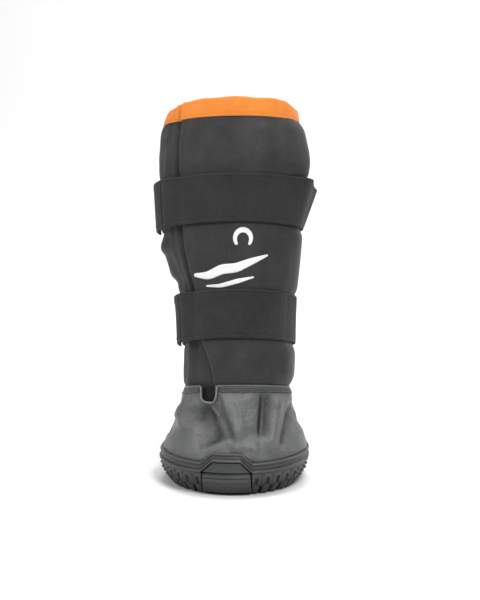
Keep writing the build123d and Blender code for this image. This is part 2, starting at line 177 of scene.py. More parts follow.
def along(path, Q):
    """Distance from drawing points Q to a polyline, and which side they lie on."""
    path = np.asarray(path, float)
    best = np.full(Q.shape[:-1], 1e9)
    side = np.zeros(Q.shape[:-1])
    at = np.zeros(Q.shape[:-1])
    for k in range(len(path) - 1):
        a, b = path[k], path[k + 1]
        ab = b - a
        t = np.clip(((Q - a) @ ab) / (ab @ ab), 0, 1)
        d = Q - (a + t[..., None] * ab)
        dist = np.hypot(d[..., 0], d[..., 1])
        m = dist < best
        best = np.where(m, dist, best)
        side = np.where(m, np.sign(ab[0] * d[..., 1] - ab[1] * d[..., 0]), side)
        at = np.where(m, (k + t) / (len(path) - 1), at)
    return best, side, at


def crease(Q, path, depth, wl, wr=None, fade=0.18):
    """Fold line on the frontal drawing: wl and wr are its widths to the left and right of its direction."""
    wr = wl if wr is None else wr
    d, side, at = along(path, Q)
    w = np.where(side > 0, wl, wr)
    ends = np.clip(at / fade, 0, 1) * np.clip((1 - at) / fade, 0, 1) if fade else 1.0
    ends = smooth(ends)
    return depth * np.exp(-(d / w) ** 2) * ends


# ------------------------------------------------------------------ mesh helpers
MATS = {}


def link(name, verts, faces, mat, smooth_faces=True, uv=None, face_mats=None):
    me = bpy.data.meshes.new(name)
    me.from_pydata([tuple(v) for v in (np.asarray(verts) * MM)], [], faces)
    me.update()
    mats = mat if isinstance(mat, (list, tuple)) else [mat]
    for m in mats:
        me.materials.append(MATS[m])
    if face_mats is not None:
        me.polygons.foreach_set("material_index", np.asarray(face_mats, np.int32))
    me.polygons.foreach_set("use_smooth", np.full(len(me.polygons), smooth_faces))
    if uv is not None:
        lay = me.uv_layers.new(name="mm")
        idx = np.empty(len(me.loops), np.int32)
        me.loops.foreach_get("vertex_index", idx)
        lay.data.foreach_set("uv", np.asarray(uv, np.float32)[idx].ravel())
    ob = bpy.data.objects.new(name, me)
    bpy.context.scene.collection.objects.link(ob)
    return ob


def slab(name, OUT, IN, mat, uv=None, ring=False, inner_mat=None):
    """Closed sheet between two vertex grids that share their edges; ring closes the first direction."""
    nu, nv = OUT.shape[:2]
    n = nu * nv
    idx = np.arange(n).reshape(nu, nv)
    if ring:
        inner = np.zeros((nu, nv), bool)
        inner[:, 1:-1] = True
    else:
        inner = np.zeros((nu, nv), bool)
        inner[1:-1, 1:-1] = True
    jdx = idx.copy()
    k = int(inner.sum())
    jdx[inner] = n + np.arange(k)
    verts = np.concatenate([OUT.reshape(-1, 3), IN[inner]])
    faces, fm = [], []
    um = nu if ring else nu - 1
    for i in range(um):
        i2 = (i + 1) % nu
        for j in range(nv - 1):
            faces.append((int(idx[i, j]), int(idx[i2, j]), int(idx[i2, j + 1]), int(idx[i, j + 1])))
            fm.append(0)
    for i in range(um):
        i2 = (i + 1) % nu
        for j in range(nv - 1):
            faces.append((int(jdx[i, j + 1]), int(jdx[i2, j + 1]), int(jdx[i2, j]), int(jdx[i, j])))
            fm.append(1 if inner_mat else 0)
    vuv = None
    if uv is not None:
        vuv = np.concatenate([uv.reshape(-1, 2), uv[inner]])
    ob = link(name, verts, faces, [mat, inner_mat] if inner_mat else mat, uv=vuv, face_mats=fm if inner_mat else None)
    outward(ob)
    return ob


def outward(ob):
    """Normals face out: the closed mesh has a positive volume."""
    me = ob.data
    n = len(me.vertices)
    co = np.empty(n * 3)
    me.vertices.foreach_get("co", co)
    co = co.reshape(-1, 3)
    me.calc_loop_triangles()
    t = np.empty(len(me.loop_triangles) * 3, np.int32)
    me.loop_triangles.foreach_get("vertices", t)
    t = t.reshape(-1, 3)
    c = co.mean(0)
    vol = np.einsum("ij,ij->i", co[t[:, 0]] - c, np.cross(co[t[:, 1]] - c, co[t[:, 2]] - c)).sum()
    if vol < 0:
        me.flip_normals()


def spaced(a, b, step, edge=1.2):
    """Samples from a to b, closer together at both ends so that a rounded edge shows. Values in the caller's unit."""
    n = max(4, int(abs(b - a) / step))
    t = np.linspace(a, b, n + 1)
    e = np.array([0.03, 0.12, 0.28, 0.5, 0.8]) * edge
    sg = 1 if b > a else -1
    t = t[(np.abs(t - a) > edge * 1.05) & (np.abs(t - b) > edge * 1.05)]
    return np.concatenate([[a], a + sg * e, t, (b - sg * e)[::-1], [b]])


def rounding(d, r):
    """Share of the full half thickness at distance d from the edge."""
    k = np.clip(1 - d / r, 0, 1)
    return np.sqrt(np.clip(1 - k * k, 0, 1))


def edge_dist(U, V, lu, lv, ring=False):
    """Distance in mm from the borders of a grid, U and V counted 0 to 1."""
    d = np.minimum(V, 1 - V) * lv
    if not ring:
        d = np.minimum(d, np.minimum(U, 1 - U) * lu)
    return d


def tube(name, P, r, mat, closed=False, sides=8, flat=None):
    """Round bead along points P (mm)."""
    P = np.asarray(P, float)
    n = len(P)
    T = np.roll(P, -1, 0) - np.roll(P, 1, 0) if closed else np.gradient(P, axis=0)
    T /= np.linalg.norm(T, axis=1)[:, None]
    N = np.cross(T, [0.31, 0.22, 0.92])
    N /= np.linalg.norm(N, axis=1)[:, None]
    B = np.cross(T, N)
    a = np.linspace(0, 2 * pi, sides, endpoint=False)
    rr = np.broadcast_to(r, (n,))
    V = P[:, None] + rr[:, None, None] * (np.cos(a)[None, :, None] * N[:, None] + np.sin(a)[None, :, None] * B[:, None])
    verts = V.reshape(-1, 3)
    faces = []
    for i in range(n if closed else n - 1):
        i2 = (i + 1) % n
        for j in range(sides):
            j2 = (j + 1) % sides
            faces.append((i * sides + j, i * sides + j2, i2 * sides + j2, i2 * sides + j))
    if not closed:
        faces.append(tuple(range(sides))[::-1])
        faces.append(tuple((n - 1) * sides + j for j in range(sides)))
    ob = link(name, verts, faces, mat)
    outward(ob)
    return ob


def stitches(name, P, N, mat, long=3.0, gap=1.1, r=0.32):
    """Row of thread stitches that dip into the cloth; P and N are dense points and normals in mm."""
    P = np.asarray(P, float)
    seg = np.linalg.norm(np.diff(P, axis=0), axis=1)
    L = np.concatenate([[0], np.cumsum(seg)])
    pitch = long + gap
    count = int(L[-1] / pitch)
    verts, faces = [], []
    off = (L[-1] - count * pitch) / 2
    ts = np.array([0.0, 0.18, 0.5, 0.82, 1.0])
    lift = np.array([-0.35, 0.12, 0.3, 0.12, -0.35])
    rad = np.array([0.45, 0.9, 1.0, 0.9, 0.45]) * r
    a = np.linspace(0, 2 * pi, 6, endpoint=False)
    for c in range(count):
        l = off + c * pitch + gap / 2 + ts * long
        C = np.stack([np.interp(l, L, P[:, k]) for k in range(3)], 1)
        M = np.stack([np.interp(l, L, N[:, k]) for k in range(3)], 1)
        M /= np.linalg.norm(M, axis=1)[:, None]
        T = C[-1] - C[0]
        T /= np.linalg.norm(T)
        B = np.cross(T, M)
        C = C + M * lift[:, None]
        k0 = len(verts)
        for i in range(5):
            for q in a:
                verts.append(C[i] + rad[i] * (cos(q) * M[i] + sin(q) * B[i]))
        for i in range(4):
            for j in range(6):
                j2 = (j + 1) % 6
                faces.append((k0 + i * 6 + j, k0 + i * 6 + j2, k0 + (i + 1) * 6 + j2, k0 + (i + 1) * 6 + j))
        faces.append(tuple(k0 + j for j in range(6))[::-1])
        faces.append(tuple(k0 + 24 + j for j in range(6)))
    ob = link(name, np.array(verts), faces, mat)
    outward(ob)
    return ob


# ------------------------------------------------------------------ materials
class N:
    def __init__(self, name):
        self.m = bpy.data.materials.new(name)
        self.m.use_nodes = True
        self.t = self.m.node_tree
        self.b = self.t.nodes["Principled BSDF"]
        MATS[name] = self.m

    def add(self, kind, **inputs):
        n = self.t.nodes.new(kind)
        for k, v in inputs.items():
            if k.startswith("_"):
                setattr(n, k[1:], v)
            else:
                self.set(n, k, v)
        return n

    def set(self, n, key, v):
        s = n.inputs[int(key[1:]) if key[0] == "i" and key[1:].isdigit() else key.replace("__", " ")]
        if isinstance(v, bpy.types.NodeSocket):
            self.t.links.new(v, s)
        else:
            s.default_value = v

    def math(self, op, a, b=0.0, c=0.0, clamp=False):
        n = self.add("ShaderNodeMath", _operation=op, i0=a, i1=b, i2=c)
        n.use_clamp = clamp
        return n.outputs[0]

    def mix(self, f, a, b):
        n = self.t.nodes.new("ShaderNodeMix")
        n.data_type = "RGBA"
        self.set(n, "i0", f)
        for key, v in ((6, a), (7, b)):
            if isinstance(v, bpy.types.NodeSocket):
                self.t.links.new(v, n.inputs[key])
            else:
                n.inputs[key].default_value = (*v, 1.0)
        return n.outputs[2]

    def noise(self, vec, scale, detail=3.0, rough=0.55):
        return self.add("ShaderNodeTexNoise", Vector=vec, Scale=scale, Detail=detail, Roughness=rough).outputs[0]

    def ramp(self, f, lo, hi, a=0.0, b=1.0):
        n = self.add("ShaderNodeMapRange", Value=f)
        n.inputs["From Min"].default_value = lo
        n.inputs["From Max"].default_value = hi
        n.inputs["To Min"].default_value = a
        n.inputs["To Max"].default_value = b
        return n.outputs[0]

    def bump(self, h, strength, dist):
        n = self.add("ShaderNodeBump", Strength=strength, Distance=dist, Height=h)
        self.t.links.new(n.outputs[0], self.b.inputs["Normal"])

    def out(self, color=None, rough=None, **k):
        if color is not None:
            if isinstance(color, bpy.types.NodeSocket):
                self.t.links.new(color, self.b.inputs["Base Color"])
            else:
                self.b.inputs["Base Color"].default_value = (*color, 1.0)
        if rough is not None:
            self.set(self.b, "Roughness", rough)
        for key, v in k.items():
            self.set(self.b, key.replace("_", " "), v)


def lin(r, g, b):
    return tuple(((c / 255) / 12.92 if c / 255 <= 0.04045 else ((c / 255 + 0.055) / 1.055) ** 2.4) for c in (r, g, b))


def weave(n, uv, pitch_u, pitch_v):
    """Plain weave height from mm coordinates: warp and weft passing over each other."""
    sep = n.add("ShaderNodeSeparateXYZ", Vector=uv)
    u = n.math("MULTIPLY", sep.outputs[0], pi / pitch_u)
    v = n.math("MULTIPLY", sep.outputs[1], pi / pitch_v)
    su, sv = n.math("SINE", u), n.math("SINE", v)
    over = n.math("MULTIPLY", su, sv)
    a = n.math("ABSOLUTE", n.math("SINE", n.math("MULTIPLY", u, 1.0)))
    b = n.math("ABSOLUTE", n.math("SINE", n.math("MULTIPLY", v, 1.0)))
    side = n.ramp(over, -0.12, 0.12)
    m = n.add("ShaderNodeMix")
    m.data_type = "FLOAT"
    n.set(m, "i0", side)
    n.t.links.new(a, m.inputs[2])
    n.t.links.new(b, m.inputs[3])
    return m.outputs[0]


def fabric(name, dark, light, pitch=0.9, rough=0.62, sheen=0.25, bump=0.5, mott=0.02, dist=0.00025, spec=0.4):
    n = N(name)
    uv = n.add("ShaderNodeUVMap", _uv_map="mm").outputs[0]
    co = n.add("ShaderNodeTexCoord").outputs["Object"]
    w = weave(n, uv, pitch, pitch)
    big = n.noise(co, 38.0, 4.0, 0.6)
    fine = n.noise(co, 900.0, 2.0, 0.5)
    f = n.math("ADD", n.math("MULTIPLY", w, 0.35), n.math("MULTIPLY", n.ramp(big, 0.3, 0.7), 0.4))
    slub = n.noise(co, 380.0, 3.0, 0.7)
    f = n.math("ADD", f, n.math("MULTIPLY", n.ramp(slub, 0.3, 0.7), 0.35))
    f = n.math("ADD", f, n.math("MULTIPLY", n.math("ADD", fine, -0.6), 0.25), clamp=True)
    n.out(n.mix(f, dark, light), n.ramp(w, 0.0, 1.0, rough + 0.1, rough - 0.08),
          Sheen_Weight=sheen, Sheen_Roughness=0.5, Specular_IOR_Level=spec)
    h = n.math("ADD", w, n.math("MULTIPLY", fine, 0.5))
    n.bump(h, bump, dist)
    return n


fabric("nylon", (0.010, 0.0105, 0.0105), (0.036, 0.037, 0.0365), pitch=0.95, rough=0.56, sheen=0.12, spec=0.3)
fabric("lining", (0.014, 0.014, 0.015), (0.032, 0.032, 0.034), pitch=1.3, rough=0.85, sheen=0.2, bump=0.6, spec=0.2)
fabric("gusset", (0.006, 0.006, 0.006), (0.014, 0.014, 0.014), pitch=1.1, rough=0.7, sheen=0.05, spec=0.2)
fabric("orange", (0.70, 0.185, 0.016), (0.86, 0.275, 0.034), pitch=0.75, rough=0.6, sheen=0.1, bump=0.5, spec=0.25)
fabric("elastic", (0.009, 0.0100, 0.0095), (0.031, 0.033, 0.0315), pitch=0.6, rough=0.78, sheen=0.12, bump=0.6, spec=0.25)
fabric("selvedge", (0.020, 0.021, 0.021), (0.046, 0.047, 0.047), pitch=0.5, rough=0.72, sheen=0.35, bump=0.5)
fabric("pad_cover", (0.030, 0.031, 0.033), (0.060, 0.061, 0.063), pitch=1.6, rough=0.85, sheen=0.5, bump=0.8)


def tape(name, dark, light, loops):
    n = N(name)
    co = n.add("ShaderNodeTexCoord").outputs["Object"]
    v = n.add("ShaderNodeTexVoronoi", Vector=co, Scale=loops)
    f = n.ramp(v.outputs["Distance"], 0.0, 0.5)
    g = n.noise(co, 60.0, 3.0)
    c = n.mix(n.math("MULTIPLY", f, n.ramp(g, 0.2, 0.8), clamp=True), light, dark)
    n.out(c, 0.7, Sheen_Weight=0.3)
    n.bump(n.math("MULTIPLY", f, -1.0), 0.8, 0.0006)


tape("hook", (0.008, 0.008, 0.008), (0.045, 0.045, 0.045), 900.0)
tape("loop", (0.014, 0.014, 0.015), (0.050, 0.050, 0.052), 480.0)


def coated(name, dark, light, rough, grain=1.0, hollow=0.3):
    """Rubber-coated skin: satin with leathery grain, painted shade that darkens the hollows by ambient occlusion, and
    lighter worn high spots.
    """
    n = N(name)
    co = n.add("ShaderNodeTexCoord").outputs["Object"]
    big = n.noise(co, 22.0, 5.0, 0.6)
    mid = n.noise(co, 120.0, 4.0, 0.65)
    speck = n.noise(co, 420.0, 3.0, 0.7)
    fine = n.noise(co, 1100.0, 3.0, 0.6)
    pore = n.add("ShaderNodeTexVoronoi", Vector=co, Scale=520.0).outputs["Distance"]
    ao = n.add("ShaderNodeAmbientOcclusion", Distance=0.022)
    ao.samples = 8
    worn = n.ramp(n.add("ShaderNodeNewGeometry").outputs["Pointiness"], 0.485, 0.55)
    f = n.math("ADD", n.math("MULTIPLY", n.ramp(big, 0.3, 0.72), 0.3), n.math("MULTIPLY", n.ramp(mid, 0.3, 0.7), 0.2))
    f = n.math("ADD", f, n.math("MULTIPLY", n.ramp(speck, 0.3, 0.7), 0.3))
    f = n.math("ADD", f, n.math("MULTIPLY", worn, 0.35), clamp=True)
    c = n.mix(f, dark, light)
    # painted shade: where ambient occlusion finds hollows and creases the colour is pulled towards a quarter of the
    # dark tone; hollow is the share of colour kept there
    shade = n.ramp(ao.outputs["AO"], 0.62, 0.96, hollow, 1.0)
    c = n.mix(shade, tuple(v * 0.25 for v in dark), c)
    n.out(c, n.ramp(mid, 0.25, 0.75, rough - 0.07, rough + 0.1), Specular_IOR_Level=0.5)
    h = n.math("ADD", n.math("MULTIPLY", fine, 0.6), n.math("MULTIPLY", pore, -0.6))
    h = n.math("ADD", h, n.math("MULTIPLY", mid, 0.6))
    h = n.math("ADD", h, n.math("MULTIPLY", speck, 1.3))
    n.bump(h, 0.5 * grain, 0.0007)


# every coated finish below carries painted shade in its hollows; on the shell it goes all the way to the dark shade
# tone
coated("coated", (0.048, 0.050, 0.050), (0.175, 0.180, 0.178), 0.38, 1.2, 0.0)
coated("hem", (0.034, 0.036, 0.036), (0.070, 0.073, 0.073), 0.5)
coated("rand_rubber", (0.036, 0.038, 0.038), (0.070, 0.073, 0.072), 0.44, 0.5)
coated("tread", (0.024, 0.026, 0.025), (0.062, 0.065, 0.064), 0.5, 0.8)
coated("toe_rubber", (0.034, 0.037, 0.035), (0.062, 0.066, 0.064), 0.48, 0.6)


def plain(name, a, b, rough, scale=300.0):
    n = N(name)
    co = n.add("ShaderNodeTexCoord").outputs["Object"]
    f = n.noise(co, scale, 3.0)
    n.out(n.mix(n.ramp(f, 0.3, 0.7), a, b), n.ramp(f, 0.3, 0.7, rough - 0.06, rough + 0.08))
    n.bump(f, 0.3, 0.0003)


plain("thread_dark", (0.02, 0.02, 0.02), (0.05, 0.05, 0.05), 0.6, 1500.0)
plain("thread_grey", (0.10, 0.10, 0.10), (0.19, 0.19, 0.19), 0.55, 1500.0)
plain("thread_orange", (0.86, 0.33, 0.07), (0.95, 0.50, 0.16), 0.55, 1500.0)
plain("raw_edge", (0.13, 0.135, 0.135), (0.24, 0.245, 0.245), 0.6, 700.0)
plain("print", (0.80, 0.80, 0.79), (0.90, 0.90, 0.89), 0.55, 400.0)
plain("board", (0.05, 0.05, 0.05), (0.09, 0.09, 0.085), 0.8, 200.0)

# ------------------------------------------------------------------ cloth of the shaft
FLAP = ("boot", "front_flap")
BLEND_A = tuple(world(0, 0, -2.0) * MM)
BLEND_B = tuple(world(0, 0, 205.0) * MM)


def with_flap(ob):
    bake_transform(ob)
    return ob


def flap_left(s):
    return -20.0 - 25.0 * smooth(np.asarray(s) / 75.0)


UNDER = 6.2


def under_k(th):
    th = np.where(th < 100, th, th - 360)
    return smooth((th + 66.0) / 18.0)


def open_cloth(s):
    """1 where the cloth is free, 0 under the two straps."""
    return np.clip(1 - np.exp(-((s - 188.5) / 27.5) ** 6) - np.exp(-((s - 69.0) / 27.5) ** 6), 0, 1)


def puff(th, s):
    """Cloth fills out at both sides between the straps."""
    th = (np.asarray(th, float) + 180.0) % 360.0 - 180.0
    right = 5.4 * smooth((th - 30.0) / 45.0) * smooth((160.0 - th) / 45.0)
    left = 2.4 * smooth((-66.0 - th) / 18.0) * smooth((th + 160.0) / 45.0)
    return (right + left) * open_cloth(s) * smooth((288.0 - s) / 24.0)


def front_wrinkle(th, s):
    """How far the front panel's face stands off its plain surface, mm."""
    u, v = th * 1.15, s
    w = 0.8 * noise2(u, v, 11, 12, 0.006, 0.022, (1.0, 0.45))
    w = w + 0.26 * noise2(u, v, 12, 12, 0.03, 0.07, (1.0, 0.35))
    Q = px(shaft(th, s))
    # cloth gathers under the mouth and is pinched by the two straps
    w = w + 1.1 * smooth((s - 222) / 10.0) * smooth((276 - s) / 34.0) * (0.4 + 0.6 * np.cos(np.radians(th * 3.2 + 20)) ** 2)
    w = w - 0.8 * np.exp(-((s - 188.5) / 24.0) ** 2) - 0.8 * np.exp(-((s - 69) / 24.0) ** 2)
    for path, depth, wl in (
        ([(262, 300), (266, 262), (270, 236)], -0.9, 4.5), ([(284, 290), (287, 262), (288, 238)], 0.8, 5.0),
        ([(203, 120), (199, 140), (196, 165)], -0.8, 6.0), ([(262, 118), (266, 140), (268, 166)], 0.9, 7.0),
        ([(225, 128), (222, 150), (226, 168)], -0.7, 8.0), ([(285, 124), (290, 146), (292, 168)], -0.7, 4.0),
        ([(196, 240), (193, 262), (196, 286)], 0.7, 3.0), ([(240, 350), (238, 366), (240, 380)], 0.7, 7.0),
        ([(262, 352), (264, 368), (262, 380)], -0.9, 4.0), ([(284, 352), (282, 366), (284, 380)], 0.7, 5.0),
    ):
        w = w + 1.6 * crease(Q, path, depth, wl, fade=0.3)
    return w


def tuck(s):
    """The panels' feet go inside the shell's top edge."""
    return -2.0 * smooth((6.0 - s) / 9.0)


def build_front(name, th_of, off_out, off_in, mat, inner_mat=None, s0=-7.0, s1=296.6, du=0.9, dv=1.8):
    U = spaced(0.0, 1.0, du / 95.0, 1.2 / 110.0)
    V = spaced(0.0, 1.0, dv / (s1 - s0), 1.2 / (s1 - s0))
    Ug, Vg = np.meshgrid(U, V, indexing="ij")
    s = s0 + (s1 - s0) * Vg
    l, r = th_of(s)
    th = l + (r - l) * Ug
    e = rounding(edge_dist(Ug, Vg, 130.0, s1 - s0), 1.1)
    o, i = off_out(th, s), off_in(th, s)
    mid = (o + i) / 2
    OUT = shaft(th, s, mid + (o - mid) * e)
    IN = shaft(th, s, mid + (i - mid) * e)
    uv = np.stack([th * 1.1, s], -1)
    return slab(name, OUT, IN, mat, uv=uv, inner_mat=inner_mat)


def hem_line(d, depth=0.35, at=3.2, w=0.5):
    """Sewn line a little inside an edge."""
    return -depth * np.exp(-((d - at) / w) ** 2)


def f_out(th, s):
    d = (th - flap_left(s)) * 1.1
    roll = 0.35 * np.exp(-((d - 4.6) / 1.6) ** 2) - 1.5 * np.exp(-(d / 2.2) ** 2)
    return (front_wrinkle(th, s) + puff(th, s)) * smooth((s + 6) / 20.0) + tuck(s) + roll + hem_line(d) + hem_line(d, 0.2, 9.0, 0.6)


front = build_front("front_wrap_panel", lambda s: (flap_left(s), np.full_like(s, SEAM - 0.9)), f_out,
                    lambda th, s: f_out(th, s) - 3.3, "nylon", "lining")
with_flap(front)
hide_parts("front_panel", "front_lining")


def l_bulge(th, s):
    Q = px(shaft(th, s))
    u, v = th * 1.15, s
    w = 0.7 * noise2(u, v, 21, 12, 0.008, 0.03, (1.0, 0.5)) + 0.22 * noise2(u, v, 22, 12, 0.03, 0.08)
    w = w + crease(Q, [(166, 250), (172, 264), (185, 290)], -2.6, 4.0, 3.0, 0.25)
    w = w + crease(Q, [(164, 236), (167, 256), (172, 270), (178, 284)], 4.2, 5.5, 4.0, 0.2)
    w = w + crease(Q, [(190, 352), (194, 366), (198, 380)], 1.0, 4.0)
    w = w - 0.8 * np.exp(-((s - 188.5) / 24.0) ** 2) - 0.8 * np.exp(-((s - 69) / 24.0) ** 2)
    return w


def lap(th, s):
    """The underlap swells a little just beyond the flap's free edge."""
    return 2.9 * np.exp(-((th + 52.5) / 4.5) ** 2) * smooth((np.asarray(s) - 60) / 40.0)


def left_out(th, s):
    k = under_k(th)
    return -UNDER * k + lap(th, s) + (l_bulge(th, s) * (1 - 0.7 * k) + puff(th, s)) * smooth((s + 6) / 20.0) + tuck(s) * (1 - 0.75 * k)


left = build_front("left_underlap_panel", lambda s: (np.full_like(s, -119.6), np.full_like(s, -6.0)), left_out,
                   lambda th, s: left_out(th, s) - np.where(th < -74, 3.3, 2.4), "nylon", "lining")
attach(left, "boot")
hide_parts("left_panel")


def rear_out(th, s):
    u, v = th * 1.15, s
    w = 0.6 * noise2(u, v, 31, 12, 0.008, 0.028, (1.0, 0.5)) + 0.18 * noise2(u, v, 32, 12, 0.03, 0.08)
    # sewn seam up the back: two felled edges and a raised ridge
    d = np.abs(((th - 180.0 + 180) % 360) - 180) * 0.9
    w = w + (0.9 * np.exp(-(d / 2.6) ** 4) - 0.4 * np.exp(-((d - 3.3) / 0.6) ** 2)) * smooth((277.0 - s) / 8.0)
    w = w - 0.8 * np.exp(-((s - 188.5) / 24.0) ** 2) - 0.8 * np.exp(-((s - 69) / 24.0) ** 2)
    e = smooth((th - (SEAM + 0.9)) / 6.0) * smooth((240.4 - th) / 6.0)
    return (w * e + puff(th, s)) * smooth((s + 6) / 20.0) + tuck(s)


rear = build_front("rear_panel_cloth", lambda s: (np.full_like(s, SEAM + 0.9), np.full_like(s, 240.3)), rear_out,
                   lambda th, s: rear_out(th, s) - 3.3, "nylon", "lining", du=1.2)
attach(rear, "boot")
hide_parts("rear_panel", "rear_lining")

# side seams: turned edges sewn down each side of the fold line and of the left join
seam_s = np.linspace(2, 277, 260)
for nm, th0, body, blended in (("seam_stitch_rear_right", SEAM + 4.0, "boot", False), ("seam_stitch_front_right", SEAM - 4.0, None, True),
                               ("seam_stitch_rear_left", 236.6, "boot", False), ("seam_stitch_left", -115.9, "boot", False)):
    fn = f_out if blended else (rear_out if th0 > 100 else left_out)
    thv = np.full_like(seam_s, th0)
    P = shaft(thv, seam_s, fn(thv, seam_s))
    M = shaft(thv, seam_s, fn(thv, seam_s) + 1.0) - P
    ob = stitches(nm, P, M, "thread_dark", 2.6, 1.0, 0.3)
    with_flap(ob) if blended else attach(ob, body)

# free edge of the front panel: one row of stitches
s_e = np.linspace(3, 277, 300)
thv = flap_left(s_e) + 3.2 / 1.1
P = shaft(thv, s_e, f_out(thv, s_e))
M = shaft(thv, s_e, f_out(thv, s_e) + 1.0) - P
with_flap(stitches("flap_edge_stitch", P, M, "thread_dark", 2.6, 1.0, 0.3))

# hook and loop closure strips under the flap's edge
STR_U = np.linspace(0, 1, 22)


def strip_piece(name, off_o, thick, mat):
    V = spaced(96.0, 274.0, 1.6, 1.0)
    U = spaced(0.0, 1.0, 1 / 20.0, 0.06)
    Ug, Vg = np.meshgrid(U, V, indexing="ij")
    th = flap_left(Vg) + 2.0 + 15.0 * Ug
    e = rounding(np.minimum(np.minimum(Ug, 1 - Ug) * 15, np.minimum(Vg - 96, 274 - Vg)), 0.8)
    fuzz = 0.10 * noise2(th * 1.1, Vg, 5, 20, 0.25, 0.45)
    mid = off_o - thick / 2
    return slab(name, shaft(th, Vg, mid + (thick / 2 + fuzz) * e), shaft(th, Vg, mid - (thick / 2 + fuzz) * e), mat,
                uv=np.stack([th * 1.1, Vg], -1))


hs = strip_piece("closure_hook_tape", -3.4, 0.8, "hook")
with_flap(hs)
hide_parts("closure_hook_strip")
ls = strip_piece("closure_loop_tape", -4.9, 0.8, "loop")
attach(ls, "boot")
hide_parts("closure_loop_strip")


# ------------------------------------------------------------------ orange binding on the mouth
def binding(name, th0, th1, under, body):
    U = spaced(th0, th1, 0.7, 0.9)
    h = 20.0
    # profile down the outside, over the edge, down the inside: height below the mouth and offset
    q = np.linspace(0, 1, 15)
    out_s = TOP - h + (h - 1.0) * q
    arc = np.linspace(0, pi, 11)[1:-1]
    in_s = TOP - 1.0 - (h - 3.0) * q
    n_o, n_a, n_i = len(out_s), len(arc), len(in_s)
    hw = 2.55                         # half of the covered thickness
    cen = -1.75
    prof_s = np.concatenate([out_s, TOP - 1.0 + 2.4 * np.sin(arc), in_s])
    prof_o = np.concatenate([np.full(n_o, cen + hw), cen + hw * np.cos(arc), np.full(n_i, cen - hw)])
    nrm_s = np.concatenate([np.zeros(n_o), np.sin(arc), np.zeros(n_i)])
    nrm_o = np.concatenate([np.ones(n_o), np.cos(arc), -np.ones(n_i)])
    # the ribbon bellies between its sewn foot and the fold
    belly = np.concatenate([0.35 * np.sin(pi * q), np.zeros(n_a), 0.2 * np.sin(pi * q)])
    foot = np.concatenate([-0.55 * np.exp(-((q - 0.12) / 0.05) ** 2), np.zeros(n_a), np.zeros(n_i)])
    th = U[:, None] + 0 * prof_s[None]
    s = prof_s[None] + 0 * U[:, None]
    u = th * 1.1
    pk = noise2(u, s, 41, 12, 0.03, 0.085, (1.0, 0.15))
    pk2 = noise2(u, s, 42, 10, 0.09, 0.16, (1.0, 0.3))
    up = smooth((s - (TOP - 17)) / 16.0)
    lift = up * (0.75 * noise2(u, 0 * s, 43, 12, 0.015, 0.06))
    o = prof_o[None] + nrm_o[None] * (belly + foot)[None] + (0.62 * pk * up + 0.16 * pk2)
    s = s + lift
    k = under_k(th) if under else 0
    o = o - UNDER * k + (lap(th, s) if under else 0)
    t = 0.45
    e = rounding(np.minimum(np.abs(th - th0), np.abs(th - th1)) * 1.1, 0.8)
    ee = np.ones(len(prof_s))
    ee[0] = ee[-1] = 0
    ee = np.minimum(ee, rounding(np.minimum(np.arange(len(prof_s)), np.arange(len(prof_s))[::-1]) * 1.4, 1.3))
    e = e * ee[None]
    OUT = shaft(th, s + nrm_s[None] * t * e, o + nrm_o[None] * t * e)
    IN = shaft(th, s - nrm_s[None] * t * e, o - nrm_o[None] * t * e)
    L = np.concatenate([[0], np.cumsum(np.hypot(np.diff(prof_s), np.diff(prof_o)))])
    uv = np.stack([u, L[None] + 0 * u], -1)
    ob = slab(name, OUT, IN, "orange", uv=uv)
    # one stitched row
    rows = []
    for tag, h0 in (("low", 2.0),):
        tt = np.linspace(th0 + 1.0, th1 - 1.0, 400) if th1 > th0 else np.linspace(th0 - 1.0, th1 + 1.0, 400)
        ss = np.full_like(tt, TOP - h + h0)
        oo = cen + hw + t - 0.25 - (UNDER * under_k(tt) - lap(tt, ss) if under else 0)
        P = shaft(tt, ss, oo)
        M = shaft(tt, ss, oo + 1.0) - P
        rows.append(stitches(name + "_stitch_" + tag, P, M, "thread_orange", 2.4, 0.9, 0.28))
    return ob, rows


bf, rows = binding("mouth_binding_front", -45.0, SEAM - 0.9, False, None)
with_flap(bf)
for r in rows:
    with_flap(r)
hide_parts("top_binding_front")
br, rows = binding("mouth_binding_rear", -5.2, -360 + SEAM + 0.9, True, "boot")
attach(br, "boot")
for r in rows:
    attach(r, "boot")
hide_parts("top_binding_rear")

# ------------------------------------------------------------------ tape over the inside of the side seam
def patch(name, th0, th1, s0, s1, off, thick, mat):
    TG_, SG_ = np.meshgrid(spaced(th0, th1, 0.8, 0.5), spaced(s0, s1, 1.8, 1.0), indexing="ij")
    e = rounding(np.minimum(np.minimum(TG_ - th0, th1 - TG_), np.minimum(SG_ - s0, s1 - SG_)), 0.6)
    o = off(TG_, SG_) - thick / 2
    return slab(name, shaft(TG_, SG_, o + thick / 2 * e), shaft(TG_, SG_, o - thick / 2 * e), mat,
                uv=np.stack([TG_ * 1.1, SG_], -1))


def seam_inside(th, s):
    m = smooth((th - 107.0) / 2.0)
    return f_out(th, s) * (1 - m) + rear_out(th, s) * m - 3.5


tape_in = patch("seam_cover_tape", 100.0, 115.0, 2.0, 275.0, seam_inside, 0.7, "lining")
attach(tape_in, "boot")
tab_in = patch("mouth_binding_seam_tab", 101.0, 114.0, 279.0, 295.0, lambda th, s: -5.4 + 0 * th, 0.7, "orange")
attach(tab_in, "boot")

# ------------------------------------------------------------------ elastic straps
TILT = radians(4.5)
UPPER_S, LOWER_S = 188.5, 69.0
IN0, ST, HT = 1.4, 2.4, 1.2
LOOP_IN = IN0 + ST + 0.25
HOOK_IN = LOOP_IN + HT + 0.35
TIP_IN = HOOK_IN + HT + 0.25
TIP_TH, END_TH = -62.0, -101.0
ZT = ZD * cos(TILT) + YD * sin(TILT)
YT = np.cross(ZT, XD)


